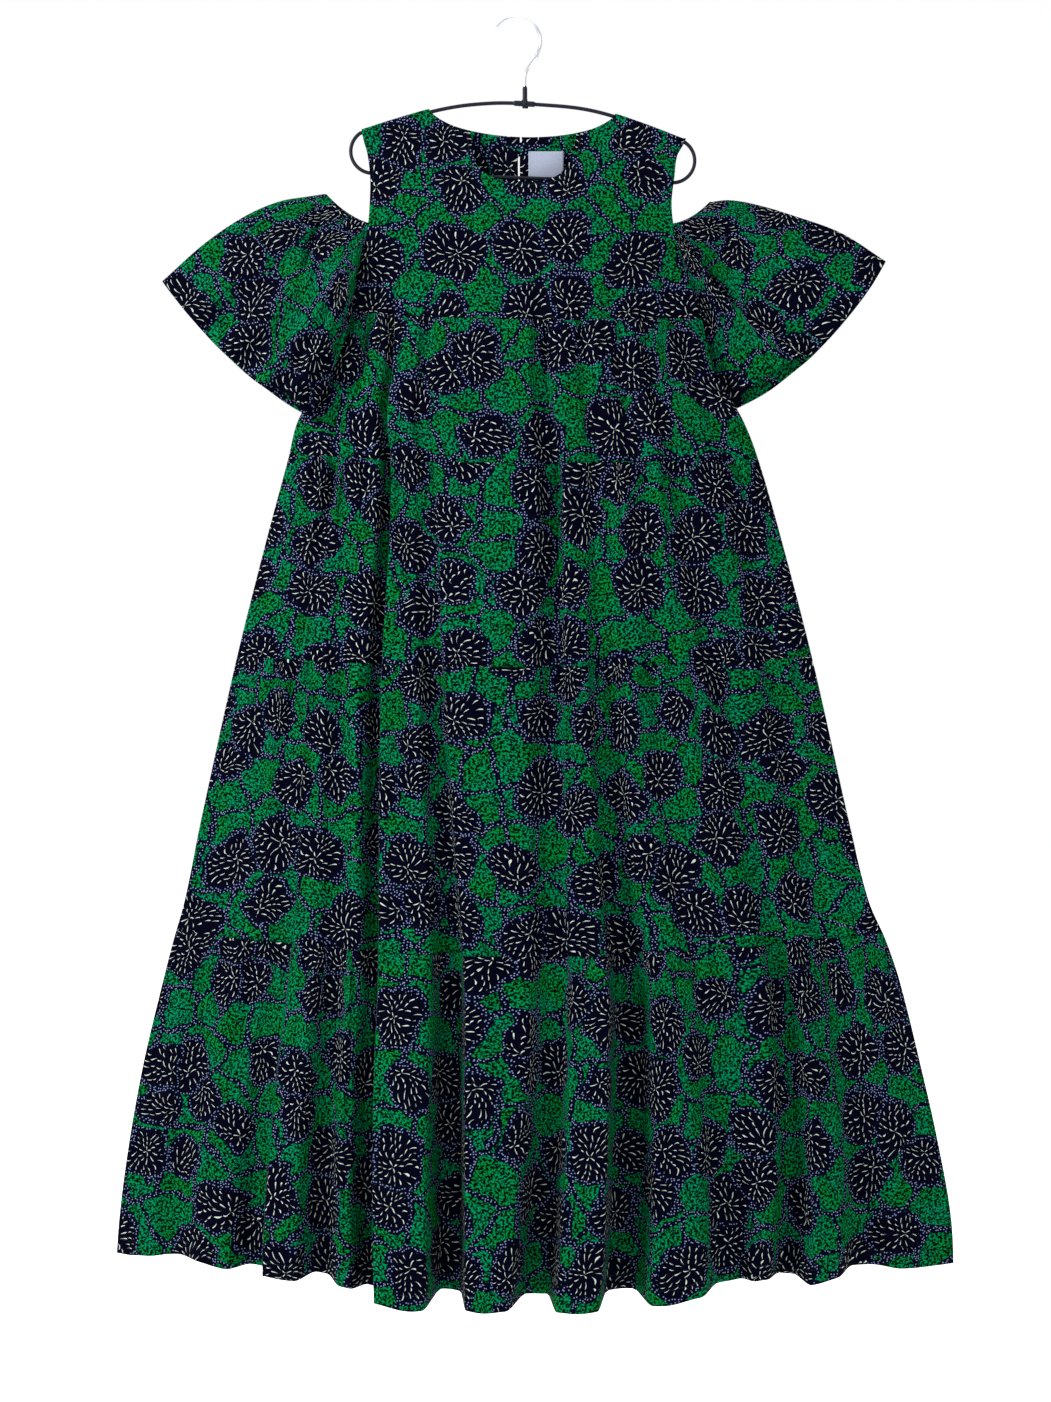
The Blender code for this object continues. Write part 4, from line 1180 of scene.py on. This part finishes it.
label_grid = []
for i in range(LABEL_ROWS + 1):
    z = LABEL_TOP - LABEL_HEIGHT * i / LABEL_ROWS
    row = []
    for j in range(LABEL_COLUMNS + 1):
        x = LABEL_LEFT + LABEL_WIDTH * j / LABEL_COLUMNS
        belly_out = 0.5 * math.sin(math.pi * i / LABEL_ROWS) * math.sin(math.pi * j / LABEL_COLUMNS)
        row.append((x, bodice_out(BACK, x, z) - CLOTH / 2 - 0.45 - belly_out, z))
    label_grid.append(row)
label_spots = [[(x, z) for x, y, z in row] for row in label_grid]
label = cloth_piece("neck_label_satin", label_grid, label_spots, label_satin, FRONT, wall=0.5)
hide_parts("neck_label")
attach(label, "root")
label_ends = [
    [Vector(row[j]) + Vector((0, -0.35, 0)) for row in label_grid[1:-1]] for j in (1, LABEL_COLUMNS - 1)
]
sewn = stitch_piece("neck_label_stitches", label_ends, pitch=2.6, length=2.0, radius=0.2)

# Hanger
# Steel wire 4 mm thick with a dark soft coating, bent into a flat frame with a round loop at each end, and a
# bright plated hook. The wire's ends are wound together at the middle, round the foot of the hook.

LOOP_RADIUS = 25.5
LOOP_LEFT = WireStep(-168.2, -153.1)
LOOP_RIGHT = WireStep(179.2, -164.1)
HOOK_WIRE_RADIUS = 1.9
HOOK_RADIUS = 27.5
HOOK_CENTRE_X = -1.2
HOOK_TIP_ANGLE = 155
HOOK_END_ANGLE = -28
CLAMP_X = 8
CLAMP_REACH = 13
LAP_HALF_LENGTH = 14.5
LAP_RADIUS = 3.1
KNOT_STEPS = 72
KNOT_TURNS = 2.5
KNOT_LENGTH = 5.2
KNOT_OUT = 3.3
KNOT_UP = 3.9
KNOT_WIRE_RADIUS = 1.3
COLLAR_HEIGHT = 20
COLLAR_RADIUS = 2.75
STEM = (
    WireStep(21, -44.5),
    WireStep(15.5, -51.5),
    WireStep(11, -58),
    WireStep(8.6, -65),
    WireStep(8, -73),
    WireStep(8, -84),
    WireStep(8, -95.5),
)


def wire_piece(name, points, radius, material, closed=False, radii=None):
    """A round wire through points in millimetres, made a mesh."""
    curve = bpy.data.curves.new(name, "CURVE")
    curve.dimensions = "3D"
    curve.bevel_depth = radius * MM
    curve.bevel_resolution = 5
    curve.use_fill_caps = not closed
    spline = curve.splines.new("POLY")
    spline.points.add(len(points) - 1)
    for i, (point, (x, y, z)) in enumerate(zip(spline.points, points)):
        point.co = (x * MM, y * MM, z * MM, 1)
        point.radius = radii[i] if radii else 1.0
    spline.use_cyclic_u = closed
    made = made_mesh(name, new_object(name + "_path", curve))
    made.materials.clear()
    made.materials.append(material)
    return new_object(name, made)


def arc(centre, radius, start, end, count):
    points = []
    for i in range(count + 1):
        angle = math.radians(blend(start, end, i / count))
        points.append((centre.x + radius * math.cos(angle), 0, centre.z + radius * math.sin(angle)))
    return points


# A soft dip coating over steel wire: nearly black, with a dull, slightly lumpy skin
coating = fine_finish(
    "Dip-coated wire",
    "ShaderNodeTexNoise",
    look={"Scale": 260.0, "Detail": 3.0},
    colours=("#03050F", "#080B1C"),
    strength=0.3,
    distance=0.0004,
    values={"Roughness": 0.55, "Specular IOR Level": 0.15},
)

# Bright nickel and chrome plating over drawn wire: sharp reflections, a faintly uneven skin
plating = fine_finish(
    "Chrome-plated wire",
    "ShaderNodeTexNoise",
    look={"Scale": 420.0, "Detail": 2.0},
    colours=("#B9BCC4", "#DDE0E6"),
    strength=0.08,
    distance=0.0002,
    values={"Metallic": 1.0, "Roughness": 0.16},
)

left_end, right_end = WIRE_TOP[0], WIRE_TOP[-1]
across_top = [(x, 0, wire_height(x)) for x in spread(left_end.x, right_end.x, 120)]
right_angle = math.degrees(math.atan2(right_end.z - LOOP_RIGHT.z, right_end.x - LOOP_RIGHT.x))
left_angle = math.degrees(math.atan2(left_end.z - LOOP_LEFT.z, left_end.x - LOOP_LEFT.x))
right_loop = arc(LOOP_RIGHT, LOOP_RADIUS, right_angle, -90, 36)
left_loop = arc(LOOP_LEFT, LOOP_RADIUS, 270, left_angle, 36)
hanger_wire = wire_piece(
    "hanger_wire", across_top + right_loop + left_loop[:-1], WIRE_RADIUS, coating, closed=True
)

hook_centre = WireStep(HOOK_CENTRE_X, HOOK_WIRE_RADIUS - HOOK_RADIUS)
bend = arc(hook_centre, HOOK_RADIUS, HOOK_TIP_ANGLE, HOOK_END_ANGLE, 48)
stem_x = smooth_curve((-step.z, step.x) for step in (WireStep(bend[-1][0], bend[-1][2]),) + STEM)
stem = [(stem_x(-z), 0, z) for z in spread(bend[-1][2], STEM[-1].z, 40)[1:]]
hook_points = bend + stem
tip = [0.35, 0.7, 0.92] + [1.0] * (len(hook_points) - 3)
hanger_hook = wire_piece("hanger_hook_wire", hook_points, HOOK_WIRE_RADIUS, plating, radii=tip)

clamp_z = wire_height(CLAMP_X)
slope = (wire_height(CLAMP_X + CLAMP_REACH) - wire_height(CLAMP_X - CLAMP_REACH)) / (2 * CLAMP_REACH)
lapped_ends = []
for x in spread(CLAMP_X - LAP_HALF_LENGTH, CLAMP_X + LAP_HALF_LENGTH, 30):
    lapped_ends.append((x, -0.6, clamp_z + slope * (x - CLAMP_X) - 0.3))
tapers = [0.35, 0.6, 0.8, 0.93] + [1.0] * 22 + [0.93, 0.8, 0.6, 0.35]
lap = wire_piece("hanger_lapped_ends", lapped_ends, LAP_RADIUS, coating, radii=tapers)
turns = []
for i in range(KNOT_STEPS + 1):
    t = i / KNOT_STEPS
    angle = 2 * math.pi * KNOT_TURNS * t
    x = CLAMP_X - KNOT_LENGTH / 2 + KNOT_LENGTH * t
    turns.append((x, KNOT_OUT * math.sin(angle), clamp_z - 0.4 + KNOT_UP * math.cos(angle)))
knot = wire_piece("hanger_knot", turns, KNOT_WIRE_RADIUS, coating)
collar_points = [(CLAMP_X, 0, clamp_z + 1.2 + i) for i in range(COLLAR_HEIGHT)]
collar_radii = [1.25, 1.25, 1.2, 1.1] + [1.0] * 13 + [0.95, 0.85, 0.7]
collar = wire_piece("hanger_stem_coat", collar_points, COLLAR_RADIUS, coating, radii=collar_radii)

for piece, node, finish in (
    (hanger_wire, "hanger_body", "coated_wire"),
    (hanger_hook, "hanger_hook", "chrome_wire"),
    (lap, "hanger_joint", "coated_wire"),
    (knot, "hanger_joint", "coated_wire"),
    (collar, "hanger_joint", "coated_wire"),
):
    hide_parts(node)
    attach(piece, "root")

# Floor, light and camera
# A plain pale floor, a pale surround, a large soft light from the left and a weaker one from the right. The
# camera stands two metres before the dress, level with its middle.

FLOOR_REACH = 9
FLOOR_HEIGHT = -1.75
WHITE = (1, 1, 1, 1)
VIEW_ANGLE = 44.2
CAMERA_PLACE = (0.0087, -2.0, -0.79)

floor_mesh = bpy.data.meshes.new("floor")
floor_corners = [
    (x * FLOOR_REACH, y * FLOOR_REACH, FLOOR_HEIGHT) for x, y in ((-1, -1), (1, -1), (1, 1), (-1, 1))
]
floor_mesh.from_pydata(floor_corners, [], [(0, 1, 2, 3)])
floor = new_object("floor", floor_mesh)
pale, pale_tree = new_material("Pale floor")
set_inputs(
    pale_tree.nodes["Principled BSDF"],
    {
        "Base Color": linear("#F6F6F6"),
        "Roughness": 0.9,
        "Emission Color": WHITE,
        "Emission Strength": 0.35,
    },
)
floor_mesh.materials.append(pale)

surround = bpy.data.worlds.new("Pale surround")
surround.use_nodes = True
set_inputs(surround.node_tree.nodes["Background"], {"Color": WHITE, "Strength": 1.0})
bpy.context.scene.world = surround

Lamp = namedtuple("Lamp", "name x y z size power")
MIDDLE = Vector((0, 0, -0.75))
for lamp in (
    Lamp("key_light", -2.7, -1.6, 1.1, 1.1, 235),
    Lamp("fill_light", 2.4, -2.0, -1.4, 1.4, 42),
    Lamp("top_light", 0.3, -0.6, 1.6, 1.2, 12),
):
    light = bpy.data.lights.new(lamp.name, "AREA")
    light.size = lamp.size
    light.energy = lamp.power
    shone = new_object(lamp.name, light)
    shone.location = (lamp.x, lamp.y, lamp.z)
    shone.rotation_euler = (MIDDLE - shone.location).to_track_quat("-Z", "Y").to_euler()

lens = bpy.data.cameras.new("camera")
lens.sensor_width = 36.0
lens.lens = lens.sensor_width / 2 / math.tan(math.radians(VIEW_ANGLE / 2))
camera = new_object("camera", lens)
camera.location = CAMERA_PLACE
camera.rotation_euler = (math.radians(90), 0, 0)
bpy.context.scene.camera = camera
bpy.context.scene.view_settings.view_transform = "Standard"
